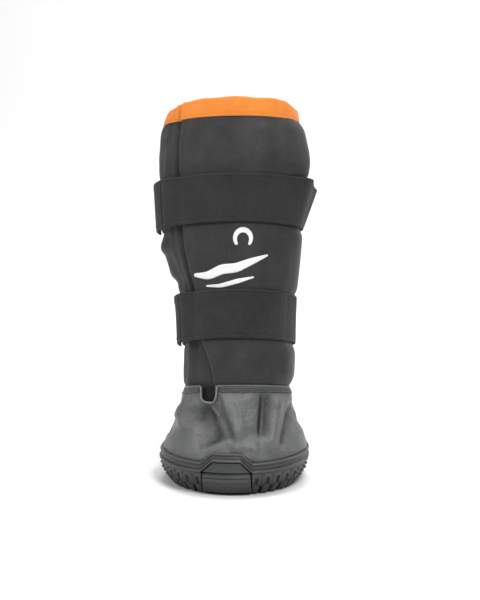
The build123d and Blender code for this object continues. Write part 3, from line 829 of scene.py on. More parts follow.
def front_off(th, flare):
    o = IN0 + (TIP_IN - IN0) * smooth((-40.0 - th) / 18.0)
    o = o + flare * smooth((SEAM - th) / 22.0) * smooth((th - 46.0) / 28.0)
    return o + 3.2 * smooth((-84.0 - th) / 22.0)


def strap_pt(s0, k, th, off):
    """Point of a band: k mm across its width from its middle."""
    s = s0 + k
    x, y = base(th, s)
    ss = s - y * np.tan(TILT)
    x, y = local(th, ss, off)
    return O + s[..., None] * ZD + x[..., None] * XD + y[..., None] * YT


def rib(L, pitch):
    """Rounded ribs with narrow valleys between them."""
    return np.abs(np.sin(pi * L / pitch)) ** 0.6


def band(name, s0, th0, th1, off, thick, seed, half=25.0, ribs=True, mats=("elastic", None), cut_ends=True, droop=None):
    n = 600
    tt = np.linspace(th0, th1, n)
    C = strap_pt(s0, np.zeros(n), tt, off(tt, np.zeros(n)))
    Lc = np.concatenate([[0], np.cumsum(np.linalg.norm(np.diff(C, axis=0), axis=1))])
    total = Lc[-1]
    Ls = spaced(0.0, total, 0.36 if ribs else 1.0, 1.2)
    th = np.interp(Ls, Lc, tt)
    K = spaced(-half, half, 1.6, 1.2)
    sel = np.array([3.4, 3.75, 4.1, 4.6])
    K = np.unique(np.concatenate([K, half - sel, -half + sel]))
    TH, KK = np.meshgrid(th, K, indexing="ij")
    LL = np.broadcast_to(Ls[:, None], TH.shape)
    d_edge = half - np.abs(KK)
    d_end = np.minimum(LL, total - LL)
    e = rounding(np.minimum(d_edge, d_end if cut_ends else 1e9), 1.1)
    r = 0.0
    if ribs:
        body = smooth((d_edge - 3.6) / 0.5)
        r = 0.26 * (rib(LL, 2.1) - 0.75) * body + 0.10 * (rib(LL, 1.05) - 0.7) * (1 - body)
        r = r - 0.38 * np.exp(-((d_edge - 3.75) / 0.35) ** 2)
    wave = 0.35 * noise2(LL, KK, seed, 10, 0.006, 0.02, (1.0, 0.6))
    curl = 0.5 * smooth((3.0 - d_edge) / 3.0)
    o = off(TH, KK)
    mid = o + thick / 2 + wave * 0.6
    K2 = KK + (droop(TH, KK) if droop else 0.0)
    OUT = strap_pt(s0, K2, TH, mid + (thick / 2 + r * 1.0 - curl * 0.2) * e)
    IN = strap_pt(s0, K2, TH, mid - (thick / 2 + r * 0.3) * e)
    ob = slab(name, OUT, IN, mats[0], uv=np.stack([LL, KK], -1))
    return ob, (tt, Lc, total)


def kick(th, a, b):
    """A short rise that comes back to nothing at the seam."""
    return smooth((th - a) / b) * smooth((SEAM - 5.0 - th) / 14.0)


def flare_of(kind):
    """Stand-off of the front stretch: the upper one is creased and turned back at its sewn end."""
    if kind == "upper":
        return lambda th, k: (front_off(th, 5.0 + 4.0 * k / 25.0) - 2.7 * smooth((-84.0 - th) / 22.0)
                              + 8.0 * kick(th, 79.0, 10.0) * (0.62 + 0.38 * k / 25.0) - 1.0 * np.exp(-((th - 76.0) / 3.0) ** 2))
    return lambda th, k: (front_off(th, 0.0 * k) - 2.7 * smooth((-84.0 - th) / 22.0)
                          + 1.6 * kick(th, 70.0, 14.0) - 0.5 * np.exp(-((th - 62.0) / 5.0) ** 2))


def droop_of(kind):
    """How far the turned-back end slips down its top edge."""
    a = 5.2 if kind == "upper" else 1.5
    return lambda th, k: -a * kick(th, 74.0, 12.0) * (k + 25.0) / 50.0


def rear_off(th, k):
    return IN0 + 0 * th


for tag, s0, seed in (("upper", UPPER_S, 51), ("lower", LOWER_S, 61)):
    fo = flare_of(tag)
    a, _ = band(tag + "_elastic_front", s0, TIP_TH + 0.25, SEAM - 0.3, fo, ST, seed, droop=droop_of(tag))
    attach(a, tag + "_strap")
    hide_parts(tag + "_strap_front")
    b, _ = band(tag + "_elastic_tip", s0, END_TH, TIP_TH - 0.25, fo, ST, seed + 1)
    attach(b, tag + "_tip")
    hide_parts(tag + "_strap_tip")
    c, _ = band(tag + "_elastic_rear", s0, -52.0, -360 + SEAM + 0.3, rear_off, ST, seed + 2)
    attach(c, "boot")
    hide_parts(tag + "_strap_rear")
    d, _ = band(tag + "_hook_pad", s0, -94.0, TIP_TH - 2.0, lambda th, k: fo(th, k) - HT - 0.2, HT, seed + 3, 22.0, False, ("hook",))
    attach(d, tag + "_tip")
    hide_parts(tag + "_hook_patch")
    e, _ = band(tag + "_loop_pad", s0, -128.0, -55.0, lambda th, k: LOOP_IN - 0.1 + 0 * th, HT, seed + 4, 22.0, False, ("loop",))
    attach(e, "boot")
    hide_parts(tag + "_loop_patch")
    # web that backs the fold between the stretch and its tip
    g, _ = band(tag + "_fold_web", s0, TIP_TH + 2.6, TIP_TH - 1.7, lambda th, k: fo(th, k) - 0.8, 0.6, seed + 5, 23.5, False, ("selvedge",))
    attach(g, tag + "_strap")
    # box of stitches that holds the hook pad to the tip, showing on the outer face
    kk = np.concatenate([np.full(120, -19.5), np.linspace(-19.5, 19.5, 80), np.full(120, 19.5), np.linspace(19.5, -19.5, 80)])
    tt = np.concatenate([np.linspace(-65.5, -92.5, 120), np.full(80, -92.5), np.linspace(-92.5, -65.5, 120), np.full(80, -65.5)])
    P = strap_pt(s0, kk, tt, fo(tt, kk) + ST)
    M = strap_pt(s0, kk, tt, fo(tt, kk) + ST + 1) - P
    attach(stitches(tag + "_pad_stitch", P, M, "thread_dark", 2.4, 1.0, 0.28), tag + "_tip")
    # rows of stitches where each stretch is sewn into the side seam
    for nm, t0, body, fn in (("_seam_stitch_front", SEAM - 3.2, tag + "_strap", fo), ("_seam_stitch_rear", SEAM + 3.2, "boot", rear_off)):
        kk = np.linspace(-23.0, 23.0, 60)
        tt = np.full(60, t0)
        P = strap_pt(s0, kk, tt, fn(tt, kk) + ST)
        M = strap_pt(s0, kk, tt, fn(tt, kk) + ST + 1) - P
        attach(stitches(tag + nm, P, M, "thread_dark", 2.4, 1.0, 0.28), body)

# ------------------------------------------------------------------ hoof shell
SOLE_TOP = 24.0
SHELL = [
    (0.0, SOLE_TOP + 0.1, 0.0, 74.0, 74.0, 76.0, 73.0),
    (0.0, 35.5, 1.5, 73.0, 73.0, 73.5, 72.5),
    (1.0, 47.0, 4.0, 68.5, 68.5, 67.0, 69.5),
    (3.0, 59.0, 7.0, 62.5, 61.5, 60.5, 64.5),
    (6.0, 71.5, 10.5, 60.0, 57.0, 55.0, 57.0),
]


def hoof_xy(th, w, f, r, wl):
    t = np.radians(th)
    c, s = np.cos(t), np.sin(t)
    ww = np.where(s >= 0, w, wl)
    q = 2 / 2.35
    xr = ww * np.abs(s) ** q * np.sign(s)
    x = np.where(c >= 0, ww * s, xr)
    y = np.where(c >= 0, -f * c, r * np.abs(c) ** q)
    # ease the corner where the round toe meets the squarer heel
    k = np.exp(-((np.abs((th + 180) % 360 - 180) - 90) / 14.0) ** 2)
    return x * (1 - 0.004 * k), y


def shell_rings(th):
    rings = []
    for (yc, zc, tilt, wr, wl, f, r) in SHELL:
        x, y = hoof_xy(th, wr, f, r, wl)
        a = radians(tilt)
        rings.append(np.stack([x, yc + y * cos(a), zc - y * sin(a)], -1))
    for s in (-9.0, 0.0):
        x, y = base(th, np.full_like(th, s))
        rings.append(world(x, y, np.full_like(th, s)))
    return np.stack(rings)          # ring, theta, xyz


RING_Q = np.array([0.0, 0.15, 0.31, 0.49, 0.68, 0.89, 1.0])


def shell_pt(th, q):
    """Plain outer face of the shell; q runs 0 at the sole to 1 at the ankle seam."""
    shp = np.broadcast(th, q).shape
    th = np.broadcast_to(th, shp)
    q = np.broadcast_to(q, shp)
    R = shell_rings(th.ravel()).reshape(7, *shp, 3)
    d = np.diff(R, axis=0) / np.diff(RING_Q)[:, None, None, None] if len(shp) == 2 else np.diff(R, axis=0) / np.diff(RING_Q)[:, None, None]
    m = np.empty_like(R)
    m[0], m[-1] = d[0], d[-1]
    m[1:-1] = (d[:-1] + d[1:]) / 2
    i = np.clip(np.searchsorted(RING_Q, q, side="right") - 1, 0, 5)
    h = (RING_Q[i + 1] - RING_Q[i])[..., None]
    t = ((q - RING_Q[i]) / (RING_Q[i + 1] - RING_Q[i]))[..., None]
    take = lambda A, k: np.take_along_axis(A, k[None, ..., None], 0)[0]
    a, b = take(R, i), take(R, i + 1)
    ma, mb = take(m, i), take(m, i + 1)
    return ((1 + 2 * t) * (1 - t) ** 2 * a + t * (1 - t) ** 2 * h * ma + t * t * (3 - 2 * t) * b + t * t * (t - 1) * h * mb)


def shell_normal(th, q):
    e = 0.4
    du = shell_pt(th + e, q) - shell_pt(th - e, q)
    dv = shell_pt(th, np.clip(q + 0.01, 0, 1)) - shell_pt(th, np.clip(q - 0.01, 0, 1))
    n = np.cross(du, dv)
    return n / np.linalg.norm(n, axis=-1)[..., None]


def folds(P, Nn, th, q):
    """Creases and bulges of the coated shell, mm along the normal."""
    Q = px(P)
    front = smooth((Nn @ BACK + 0.25) / 0.45)
    live = smooth((q - 0.02) / 0.16) * smooth((1.0 - q) / 0.10)
    f = np.zeros_like(q)
    for path, depth, wl, wr in (
        # hollow below the notch, running down to the right
        ([(198, 400), (217, 446)], -13.0, 14.0, 15.0),
        # its right lip: the middle facet stands over it
        ([(221, 390), (240, 445)], 5.6, 2.6, 10.0),
        ([(218, 402), (236, 446)], -1.8, 2.8, 1.8),
        ([(244, 392), (249, 436)], 2.2, 13.0, 11.0),
        # trough and the bright facet right of it
        ([(265, 386), (261, 442)], -5.4, 4.0, 6.5),
        ([(280, 388), (268, 456)], 5.0, 6.5, 6.5),
        ([(291, 398), (287, 414), (283, 434), (280, 451)], -5.0, 1.7, 3.4),
        ([(297, 404), (300, 420), (301, 440)], 2.4, 7.0, 7.0),
        # left ridge, pinch behind it and the small creases
        ([(181, 390), (178, 402), (180, 416), (183, 432)], 5.2, 5.0, 4.6),
        ([(176, 414), (171, 424), (166, 436)], -2.4, 5.0, 5.0),
        ([(196, 430), (197, 448)], -1.6, 3.0, 3.0),
        ([(208, 404), (219, 417)], 2.6, 2.4, 2.4),
        ([(206, 398), (208, 406), (211, 411)], 1.2, 2.0, 2.0),
        ([(228, 448), (246, 446), (262, 450)], 1.5, 5.0, 5.0),
    ):
        f = f + crease(Q, path, depth, wl, wr, 0.24) * front
    back = 1 - front
    t = np.radians(th)
    f = f + back * (1.7 * np.sin(7 * t + 0.8 * np.sin(3 * t)) * smooth((q - 0.2) / 0.4) + 1.0 * np.sin(11 * t + 1.0) * smooth((q - 0.45) / 0.4))
    f = f + 3.4 * smooth((th - 55.0) / 35.0) * smooth((150.0 - th) / 35.0) + 1.2 * smooth((-60.0 - th) / 30.0) * smooth((th + 150.0) / 35.0)
    f = f + 0.35 * noise2(th * 1.05, q * 75.0, 71, 14, 0.02, 0.07) + 0.12 * noise2(th * 1.05, q * 75.0, 72, 14, 0.08, 0.2)
    return f * live


NOTCH_TH, NOTCH_HALF, NOTCH_D = -25.0, 10.4, 21.0
Q_OF_S = lambda s: np.where(s > -9, 0.89 + 0.11 * (s + 9) / 9.0, 0.89 + (s + 9) * 0.0085)


def notch_top(th):
    t = np.clip(np.abs(th - NOTCH_TH) / NOTCH_HALF, 0, 1)
    return -NOTCH_D * (1 - t ** 3.2) ** (1 / 2.6)


cols = np.concatenate([
    np.linspace(NOTCH_TH + NOTCH_HALF + 1.0, NOTCH_TH + 360 - NOTCH_HALF - 1.0, 330),
    NOTCH_TH - NOTCH_HALF * np.cos(np.linspace(0, pi, 61)) + 360,
])
cols = np.unique(np.round(cols, 5))
V = np.concatenate([np.linspace(0, 0.94, 84), [0.95, 0.96, 0.97, 0.978, 0.985, 0.991, 0.996, 1.0]])
V = np.unique(np.concatenate([[0, 0.004, 0.01], V]))
THg, Vg = np.meshgrid(cols, V, indexing="ij")
tn = (THg + 180) % 360 - 180
qtop = Q_OF_S(notch_top(tn))
Qg = Vg * qtop
P0 = shell_pt(THg, Qg)
N0 = shell_normal(THg, Qg)
N0[:, -1] = N0[:, -2]
F0 = folds(P0, N0, tn, Qg)
near_notch = smooth(1.6 - np.abs(tn - NOTCH_TH) / NOTCH_HALF)
# the top edge is turned: a lighter lip, a sewn channel under it
sdist = (1.0 - Qg) * 80.0
lip = 0.9 * np.exp(-((sdist - 0.6) / 1.4) ** 2)
dist_top = (qtop - Qg) * 80.0
lip = lip + 0.8 * np.exp(-((dist_top - 0.8) / 1.5) ** 2) * near_notch
mid = F0 + lip - 0.2
ed = rounding(np.minimum(Vg * 80.0, (1 - Vg) * qtop * 80.0), 1.2)
OUTs = P0 + N0 * (mid + 0.15 * ed)[..., None] + N0 * (0.0)
INs = P0 + N0 * (mid - 2.1 * ed - 0.0)[..., None]
shell = slab("hoof_shell_cloth", OUTs, INs, "coated", uv=np.stack([tn * 1.05, Qg * 80], -1), ring=True, inner_mat="lining")
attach(shell, "boot")
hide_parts("hoof_shell")

# piping along the notch
tt = NOTCH_TH - NOTCH_HALF * np.cos(np.linspace(0.02, pi - 0.02, 70))
ss = notch_top(tt)
qq = Q_OF_S(ss)
Pn = shell_pt(tt, qq)
Nn_ = shell_normal(tt, qq)
Pn = Pn + Nn_ * (folds(Pn, Nn_, tt, qq) + 0.7)[:, None]
pip = tube("notch_edge_piping", Pn, 1.05, "raw_edge")
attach(pip, "boot")
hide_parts("notch_piping")

# gusset behind the notch
Ug = spaced(-45.0, -4.5, 1.2, 1.0)
Vv = spaced(-30.0, -1.0, 1.2, 1.0)
TG, SG = np.meshgrid(Ug, Vv, indexing="ij")
qg = Q_OF_S(SG)
PG = shell_pt(TG, qg)
NG = shell_normal(TG, qg)
deep = -4.4 - 1.5 * np.exp(-((TG - NOTCH_TH) / 7.0) ** 2) + 0.5 * noise2(TG, SG, 81, 10, 0.03, 0.08) + np.minimum(folds(PG, NG, TG, qg), 0) * 0.6
eg = rounding(np.minimum(np.minimum(TG + 45, -4.5 - TG), np.minimum(SG + 30, -1 - SG)), 1.0)
gus = slab("notch_gusset_cloth", PG + NG * (deep + 0.6 * eg)[..., None], PG + NG * (deep - 0.6 * eg)[..., None], "gusset",
           uv=np.stack([TG, SG], -1))
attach(gus, "boot")
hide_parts("notch_gusset")

# doubled hem along the top edge, open at the notch, with two sewn rows
HT0, HT1 = NOTCH_TH + NOTCH_HALF + 3.0, NOTCH_TH + 360 - NOTCH_HALF - 3.0
Ug = spaced(HT0, HT1, 1.0, 1.0)
Vv = spaced(-7.4, -1.9, 0.5, 0.8)
TG, SG = np.meshgrid(Ug, Vv, indexing="ij")
qg = Q_OF_S(SG)
tnn = (TG + 180) % 360 - 180
PG = shell_pt(TG, qg)
NG = shell_normal(TG, qg)
mh = folds(PG, NG, tnn, qg) + 0.25 + 0.08 * noise2(TG, SG, 83, 12, 0.03, 0.12)
eg = rounding(np.minimum(np.minimum(TG - HT0, HT1 - TG), np.minimum(SG + 7.4, -1.9 - SG)), 0.8)
hem = slab("ankle_hem_band", PG + NG * (mh + 0.55 * eg)[..., None], PG + NG * (mh - 0.55 * eg)[..., None], "hem",
           uv=np.stack([TG, SG], -1))
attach(hem, "boot")
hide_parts("ankle_hem")
for nm, s_at in (("hem_stitch_high", -2.9), ("hem_stitch_low", -6.4)):
    tt = np.linspace(HT0 + 1, HT1 - 1, 700)
    qq = Q_OF_S(np.full_like(tt, s_at))
    P = shell_pt(tt, qq)
    Nm = shell_normal(tt, qq)
    P = P + Nm * (folds(P, Nm, (tt + 180) % 360 - 180, qq) + 0.72)[:, None]
    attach(stitches(nm, P, Nm, "thread_grey", 2.6, 1.0, 0.28), "boot")

# ------------------------------------------------------------------ rand
TAB_H, RAND_H = 11.5, 10.0


def toe_rise(x, y):
    """How far the rand's foot rises over the toe tab."""
    r = TAB_H * np.clip((25.5 - np.abs(x)) / 11.5, 0, 1)
    return np.where(y < 0, r, 0.0)


def q_of_height(th, z):
    """Level on the shell at a wanted height, by a short search."""
    lo, hi = np.zeros_like(th), np.full_like(th, 0.5)
    for _ in range(22):
        m = (lo + hi) / 2
        zz = shell_pt(th, m)[..., 2]
        lo = np.where(zz < z, m, lo)
        hi = np.where(zz < z, hi, m)
    return (lo + hi) / 2


tc = np.unique(np.concatenate([np.linspace(-180, 180, 361)[:-1], np.linspace(-24, 24, 121)]))
base_xy = shell_pt(tc, np.full_like(tc, 0.05))
rise = toe_rise(base_xy[:, 0], base_xy[:, 1])
kern = np.exp(-(np.arange(-4, 5) / 2.0) ** 2)
kern /= kern.sum()
rise_s = np.convolve(np.concatenate([rise[-8:], rise, rise[:8]]), kern, "same")[8:-8]
#            height share, offset from the shell
PROFILE = np.array([(0.0, -0.6), (0.0, 1.6), (0.0, 3.0), (0.02, 4.0), (0.07, 4.6), (0.15, 4.7), (0.22, 4.1), (0.27, 2.9), (0.32, 2.0),
                    (0.38, 2.1), (0.50, 2.7), (0.62, 2.6), (0.68, 2.2), (0.73, 2.4), (0.79, 3.3), (0.86, 3.7), (0.93, 3.3), (0.98, 2.1),
                    (1.0, 0.6), (0.97, -0.6)])
z0 = SOLE_TOP + 0.35 + rise_s
hh = RAND_H - 1.8 * smooth(rise_s / TAB_H)
rows = []
for hs_, of_ in PROFILE:
    z = z0 + hh * hs_
    qv = q_of_height(tc, z)
    Pq = shell_pt(tc, qv)
    Nq = shell_normal(tc, qv)
    fq = folds(Pq, Nq, tc, qv)
    H = Nq.copy()
    H[:, 2] *= 0.35
    H /= np.linalg.norm(H, axis=1)[:, None]
    Pq = Pq + H * (of_ + np.clip(fq, -1.0, 2.0) * hs_ * 0.8)[:, None]
    Pq[:, 2] = z
    rows.append(Pq)
R = np.stack(rows, 1)
nu, nv = R.shape[:2]
faces = []
for i in range(nu):
    for j in range(nv):
        faces.append((i * nv + j, ((i + 1) % nu) * nv + j, ((i + 1) % nu) * nv + (j + 1) % nv, i * nv + (j + 1) % nv))
rand = link("rand_band_rubber", R.reshape(-1, 3), faces, "rand_rubber")
outward(rand)
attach(rand, "boot")
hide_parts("rand")

# ------------------------------------------------------------------ outsole
SOLE_W, SOLE_F, SOLE_R = 77.0, 79.0, 76.0
ZL = np.array([0.0, 4.0, 9.0, 16.0, 24.0])
KL = np.array([0.85, 0.895, 0.94, 0.98, 1.0])
PLATE = 25.0


def sole_xy(th, k):
    x, y = hoof_xy(th, SOLE_W, SOLE_F, SOLE_R, SOLE_W)
    return x * k, y * k


tc = np.linspace(-180, 180, 1081)[:-1]
zs = np.concatenate([[24.0, 23.6, 23.0], np.linspace(22.2, 1.4, 34), [0.8, 0.3, 0.0]])
TC, ZZ = np.meshgrid(tc, zs, indexing="ij")
kk = np.interp(ZZ, ZL, KL)
pitch = 360.0 / 38
lug = lambda ph, w: smooth((np.abs(((TC / pitch + ph + 0.5) % 1.0) - 0.5) - w) / 0.045)      # 0 in a gap, 1 on a lug
low = lug(0.0, 0.15)
high = lug(0.5, 0.13)
z_low = smooth((9.4 - ZZ) / 1.0)
z_high = smooth((ZZ - 10.6) / 1.0) * smooth((19.0 - ZZ) / 1.2)
groove = np.exp(-((ZZ - 10.0) / 0.9) ** 2)
cutd = 4.6 * (1 - low) * z_low + 3.0 * (1 - high) * z_high + 1.5 * groove
# each lug is domed, with small knobs between the rows
rng = np.random.default_rng(7)
own = rng.uniform(-0.5, 0.5, 64)
cutd = cutd + own[(np.round(TC / pitch).astype(int)) % 38] * low * z_low
for z_c, ph, hgt in ((19.6, 0.0, 1.5), (14.6, 0.0, 1.6), (9.2, 0.5, 1.2)):
    du = (((TC / pitch + ph + 0.5) % 1.0) - 0.5) * 12.0
    cutd = cutd - hgt * np.clip(1.6 - np.sqrt((du / 1.9) ** 2 + ((ZZ - z_c) / 1.5) ** 2) * 1.3, 0, 1)
toe = (np.abs(TC) < 24)
x, y = sole_xy(TC, kk)
in_toe = (np.abs(x) < PLATE + 0.6) & (y < 0)
cutd = np.where(in_toe, 0.0, cutd)
rr = np.hypot(x, y)
x, y = x * (1 - cutd / rr), y * (1 - cutd / rr)
y = np.where(in_toe, np.maximum(y, -63.0), y)
edge_r = np.where(ZZ < 0.9, 1 - 0.008 * (0.9 - ZZ) / 0.9, 1.0)
side = np.stack([x * edge_r, y * edge_r, ZZ], -1)
# ground face: edge blocks, a ring gap, then cross bars
rs = np.concatenate([np.linspace(0.985, 0.05, 74), [0.0]])
TB, RB = np.meshgrid(tc, rs, indexing="ij")
bx, by = sole_xy(TB, 0.843 * RB)
in_toe_b = (np.abs(bx) < PLATE + 0.6) & (by < -50)
rad = 0.843 * RB
ring_gap = smooth(1 - np.abs(rad - 0.675) / 0.038) ** 0.7
edge_gap = (1 - lug(0.0, 0.15)[:, :1]) * smooth((rad - 0.70) / 0.02)
bars = np.zeros_like(bx)
for yc in (-33.75, -20.25, -6.75, 6.75, 20.25, 33.75):
    bars = np.maximum(bars, smooth((2.6 - np.abs(by - yc)) / 1.2))
bars = bars * smooth((0.66 - rad) / 0.02)
saw = 0.25 * (1 - bars) * smooth((0.62 - rad) / 0.02) * (np.abs(np.sin(bx * pi / 3.0)) < 0.25)
depth = np.maximum(np.maximum(ring_gap * 4.0, bars * 3.5), edge_gap * 4.5)
depth = np.where(in_toe_b, 0.0, depth)
by = np.where(in_toe_b, np.maximum(by, -63.0), by)
bot = np.stack([bx, by, depth + saw], -1)
G = np.concatenate([side, bot[:, :-1]], 1)
nu, nv = G.shape[:2]
verts = np.concatenate([G.reshape(-1, 3), [[0, 0, 0.0]], [[0, 0, 24.0]]])
faces = []
for i in range(nu):
    i2 = (i + 1) % nu
    for j in range(nv - 1):
        faces.append((i * nv + j, i2 * nv + j, i2 * nv + j + 1, i * nv + j + 1))
    faces.append((i * nv + nv - 1, i2 * nv + nv - 1, nu * nv))
    faces.append((i2 * nv, i * nv, nu * nv + 1))
sole = link("outsole_tread", verts, faces, "tread")
outward(sole)
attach(sole, "boot")
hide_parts("outsole")

# toe block: bevelled head, bead lines, teeth along the foot
xs = spaced(-24.6, 24.6, 0.42, 1.0)
zz = np.concatenate([[0.9], np.linspace(1.2, 22.0, 44), [22.6, 23.1, 23.5, 23.75]])
XX, ZZ = np.meshgrid(xs, zz, indexing="ij")
kk = np.interp(ZZ, ZL, KL)
yf = -(SOLE_F * kk + 1.6) * np.sqrt(np.clip(1 - (XX / (SOLE_W * kk + 1.6)) ** 2, 0, 1))
bead = 0.0
for zc, d, w in ((6.2, 0.9, 0.5), (13.2, 0.5, 0.45), (19.4, 1.1, 0.55)):
    bead = bead + d * np.exp(-((ZZ - zc) / w) ** 2)
teeth = 1.5 * smooth((3.6 - ZZ) / 0.8) * smooth((np.abs(((XX / 3.5) % 1.0) - 0.5) - 0.24) / 0.08)
bev = 3.0 * smooth((ZZ - 20.2) / 3.5) ** 2
sidebev = 1.0 * (1 - rounding(np.minimum(XX + 24.6, 24.6 - XX), 1.2))
yf = yf + bead + teeth + bev + sidebev
tooth = smooth((np.abs(((XX / 3.5) % 1.0) - 0.5) - 0.2) / 0.1)
ZF = ZZ + (1 - tooth) * 2.4 * smooth((3.4 - ZZ) / 2.5)
front_g = np.stack([XX, yf, ZF], -1)
back_g = np.stack([XX, np.full_like(XX, -63.4), ZZ], -1)
nu, nv = XX.shape
verts = np.concatenate([front_g.reshape(-1, 3), back_g.reshape(-1, 3)])
n = nu * nv
faces = []
for i in range(nu - 1):
    for j in range(nv - 1):
        a, b, c, d = i * nv + j, (i + 1) * nv + j, (i + 1) * nv + j + 1, i * nv + j + 1
        faces.append((a, b, c, d))
        faces.append((n + d, n + c, n + b, n + a))
for i in range(nu - 1):
    a, b = i * nv, (i + 1) * nv
    faces.append((b, a, n + a, n + b))
    a, b = i * nv + nv - 1, (i + 1) * nv + nv - 1
    faces.append((a, b, n + b, n + a))
for j in range(nv - 1):
    faces.append((j, j + 1, n + j + 1, n + j))
    a, b = (nu - 1) * nv + j, (nu - 1) * nv + j + 1
    faces.append((b, a, n + a, n + b))
toe = link("toe_guard_block", verts, faces, "toe_rubber")
outward(toe)
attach(toe, "boot")
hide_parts("toe_guard")

# toe tab: tapered plate under the step of the rand
xs = spaced(0.0, 1.0, 0.02, 0.03)
vs = spaced(0.0, 1.0, 0.04, 0.08)
UU, VV = np.meshgrid(xs, vs, indexing="ij")
half = 24.6 - 10.6 * VV
XX = (UU * 2 - 1) * half
zt = SOLE_TOP + 0.3 + (TAB_H - 0.6) * VV
thx = np.degrees(np.arcsin(np.clip(XX / 74.5, -1, 1)))
qt = q_of_height(thx, zt)
PT = shell_pt(thx, qt)
NT = shell_normal(thx, qt)
et = rounding(np.minimum(np.minimum(UU, 1 - UU) * 2 * half, np.minimum(VV, 1 - VV) * TAB_H), 1.4)
groove_t = 0.5 * np.exp(-((VV - 0.78) / 0.07) ** 2)
PTo = PT + NT * (0.9 + (2.0 - groove_t) * et)[..., None]
PTi = PT + NT * (0.9 - 0.7 * et)[..., None]
tab = slab("toe_tab_plate", PTo, PTi, "toe_rubber")
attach(tab, "boot")
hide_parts("toe_tab")

# ------------------------------------------------------------------ inside: board and pad
frame["nodes"]["lasting_board"].data.materials.clear()
frame["nodes"]["lasting_board"].data.materials.append(MATS["board"])

tc = np.linspace(-180, 180, 181)[:-1]
rows_o, rows_i = [], []
rs = np.concatenate([[1.0, 0.997, 0.988, 0.972], np.linspace(0.95, 0.03, 46)])
TB, RB = np.meshgrid(tc, rs, indexing="ij")
bx, by = hoof_xy(TB, 68.4, 69.3, 67.2, 68.4)
bx, by = bx * RB, by * RB
zt0 = SOLE_TOP + 2.2
crown = 6.4 * rounding((1 - RB) * 68.0, 5.0)
quilt = 0.0
for c in (-36, -12, 12, 36):
    quilt = quilt + np.exp(-(((bx + by) * 0.707 - c) / 1.3) ** 2) + np.exp(-(((bx - by) * 0.707 - c) / 1.3) ** 2)
ztop = zt0 + crown - 0.9 * np.minimum(quilt, 1.0) * smooth((1 - RB) / 0.08)
pv = np.concatenate([np.stack([bx, by, ztop], -1).reshape(-1, 3), np.stack([bx, by, np.full_like(bx, zt0)], -1)[:, 1:].reshape(-1, 3),
                     [[0, 0, float(ztop[0, -1])]], [[0, 0, zt0]]])
nu, nv = TB.shape
n = nu * nv
bot = lambda i, j: i * nv if j == 0 else n + i * (nv - 1) + (j - 1)
ct, cb = n + nu * (nv - 1), n + nu * (nv - 1) + 1
faces = []
for i in range(nu):
    i2 = (i + 1) % nu
    for j in range(nv - 1):
        faces.append((i * nv + j, i2 * nv + j, i2 * nv + j + 1, i * nv + j + 1))
        faces.append((bot(i, j + 1), bot(i2, j + 1), bot(i2, j), bot(i, j)))
    faces.append((i * nv + nv - 1, i2 * nv + nv - 1, ct))
    faces.append((bot(i2, nv - 1), bot(i, nv - 1), cb))
uvp = np.concatenate([np.stack([bx, by], -1).reshape(-1, 2), np.stack([bx, by], -1)[:, 1:].reshape(-1, 2), [[0, 0], [0, 0]]])
pad = link("insole_foam_pad", pv, faces, "pad_cover", uv=uvp)
outward(pad)
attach(pad, "boot")
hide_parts("insole_pad")


# ------------------------------------------------------------------ plain printed marks on the front panel
def on_panel(Q, lift):
    """Surface points of the front panel seen at drawing points Q."""
    th = (Q[..., 0] - 238.0) * 0.95
    s = (392.0 - Q[..., 1]) * 1.03
    for _ in range(12):
        P = px(shaft(th, s, f_out(th, s)))
        e = Q - P
        a = px(shaft(th + 0.5, s, f_out(th + 0.5, s))) - P
        b = px(shaft(th, s + 0.5, f_out(th, s + 0.5))) - P
        det = a[..., 0] * b[..., 1] - a[..., 1] * b[..., 0]
        dt = (e[..., 0] * b[..., 1] - e[..., 1] * b[..., 0]) / det * 0.5
        ds = (a[..., 0] * e[..., 1] - a[..., 1] * e[..., 0]) / det * 0.5
        th, s = th + np.clip(dt, -6, 6), s + np.clip(ds, -6, 6)
    return th, s


def mark(name, path, width):
    """Inked stroke: path in drawing units, width half at each point."""
    path = np.asarray(path, float)
    d = np.concatenate([[0], np.cumsum(np.hypot(*np.diff(path, axis=0).T))])
    t = np.linspace(0, d[-1], 110)
    C = np.stack([np.interp(t, d, path[:, 0]), np.interp(t, d, path[:, 1])], 1)
    kern = np.exp(-(np.arange(-12, 13) / 6.0) ** 2)
    kern /= kern.sum()
    soft = lambda a: np.convolve(np.concatenate([2 * a[0] - a[12:0:-1], a, 2 * a[-1] - a[-2:-14:-1]]), kern, "valid")
    C = np.stack([soft(C[:, k]) for k in range(2)], 1)
    T = np.gradient(C, axis=0)
    T /= np.linalg.norm(T, axis=1)[:, None] + 1e-9
    Nn = np.stack([-T[:, 1], T[:, 0]], 1)
    w = np.maximum(soft(np.interp(t / d[-1], np.linspace(0, 1, len(width)), width)), 0.15)
    w = w * rounding(np.minimum(t, d[-1] - t) + 0.02, min(width[0], width[-1]) + 0.3)
    k = np.linspace(-1, 1, 9)
    Q = C[:, None] + Nn[:, None] * (w[:, None] * k[None])[..., None]
    th, s = on_panel(Q, 0)
    e = np.ones(Q.shape[:2])
    e[0] = e[-1] = 0
    e[:, 0] = e[:, -1] = 0
    o = f_out(th, s)
    ob = slab(name, shaft(th, s, o + 0.12 + 0.14 * e), shaft(th, s, o + 0.12 - 0.16 * e), "print")
    with_flap(ob)
    return ob


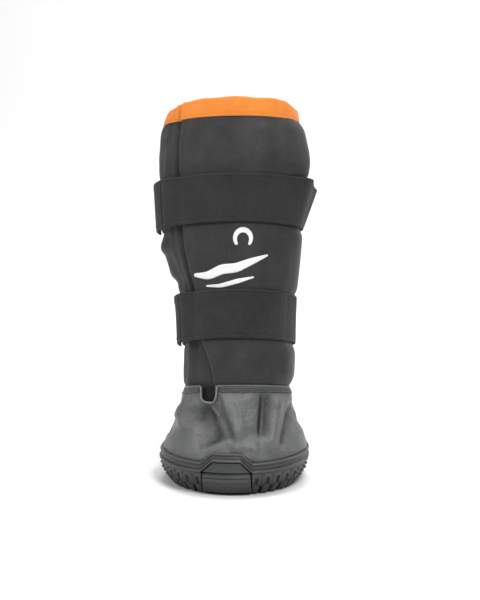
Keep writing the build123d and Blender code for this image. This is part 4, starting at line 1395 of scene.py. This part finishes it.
shoe = [(236.5 + 0.0, 249)] + [(243 + 8.2 * sin(a), 238.5 + 9.0 * cos(a) * -1) for a in np.linspace(-2.35, 2.35, 15)] + [(249.5, 249)]
mark("printed_horseshoe_outline", shoe[1:-1], [1.5, 2.3, 2.8, 2.3, 1.5])
mark("printed_brush_stroke_long", [(194, 275), (208, 276), (222, 269), (236, 268), (250, 262), (268, 255)], [1.6, 4.4, 5.0, 4.6, 3.2, 0.9])
mark("printed_brush_stroke_short", [(206, 286), (220, 286), (238, 281), (254, 277)], [0.8, 2.2, 2.4, 0.8])

# ------------------------------------------------------------------ floor and light
me = bpy.data.meshes.new("floor")
W_, D_ = 6.0, 6.0
prof = [(-W_, 0.0), (1.3, 0.0)] + [(1.3 + 0.9 * sin(a), 0.9 - 0.9 * cos(a)) for a in np.linspace(0.1, pi / 2, 12)] + [(2.2, 4.0)]
vv = [(-D_, y, z - 0.0002) for y, z in prof] + [(D_, y, z - 0.0002) for y, z in prof]
k = len(prof)
me.from_pydata(vv, [], [(i, i + 1, k + i + 1, k + i) for i in range(k - 1)])
me.polygons.foreach_set("use_smooth", [True] * len(me.polygons))
floor = bpy.data.objects.new("floor", me)
bpy.context.scene.collection.objects.link(floor)
n = N("floor_paper")
co = n.add("ShaderNodeTexCoord").outputs["Object"]
n.out(n.mix(n.noise(co, 3.0, 2.0), (0.90, 0.90, 0.90), (0.94, 0.94, 0.94)), 0.9, Specular_IOR_Level=0.1)
me.materials.append(n.m)


def area(name, loc, target, size, power, size_y=None):
    l = bpy.data.lights.new(name, "AREA")
    l.energy = power
    l.size = size
    if size_y:
        l.shape = "RECTANGLE"
        l.size_y = size_y
    o = bpy.data.objects.new(name, l)
    o.location = loc
    o.rotation_euler = (Vector(target) - Vector(loc)).to_track_quat("-Z", "Y").to_euler()
    bpy.context.scene.collection.objects.link(o)


area("key", (0.65, -1.1, 1.75), (0, 0.0, 0.14), 0.7, 24)
area("side", (-1.35, -0.7, 1.15), (0, 0.0, 0.14), 0.5, 9)
area("top", (0.1, 0.35, 2.2), (0, 0.05, 0.2), 1.3, 20)
area("rim", (1.3, 1.2, 1.1), (0, 0.05, 0.25), 0.9, 7)
area("backdrop", (0.0, 0.6, 2.6), (0, 2.3, 0.9), 1.8, 26)

w = bpy.data.worlds.new("studio")
bpy.context.scene.world = w
w.use_nodes = True
w.node_tree.nodes["Background"].inputs[0].default_value = (1, 1, 1, 1)
w.node_tree.nodes["Background"].inputs[1].default_value = 0.22
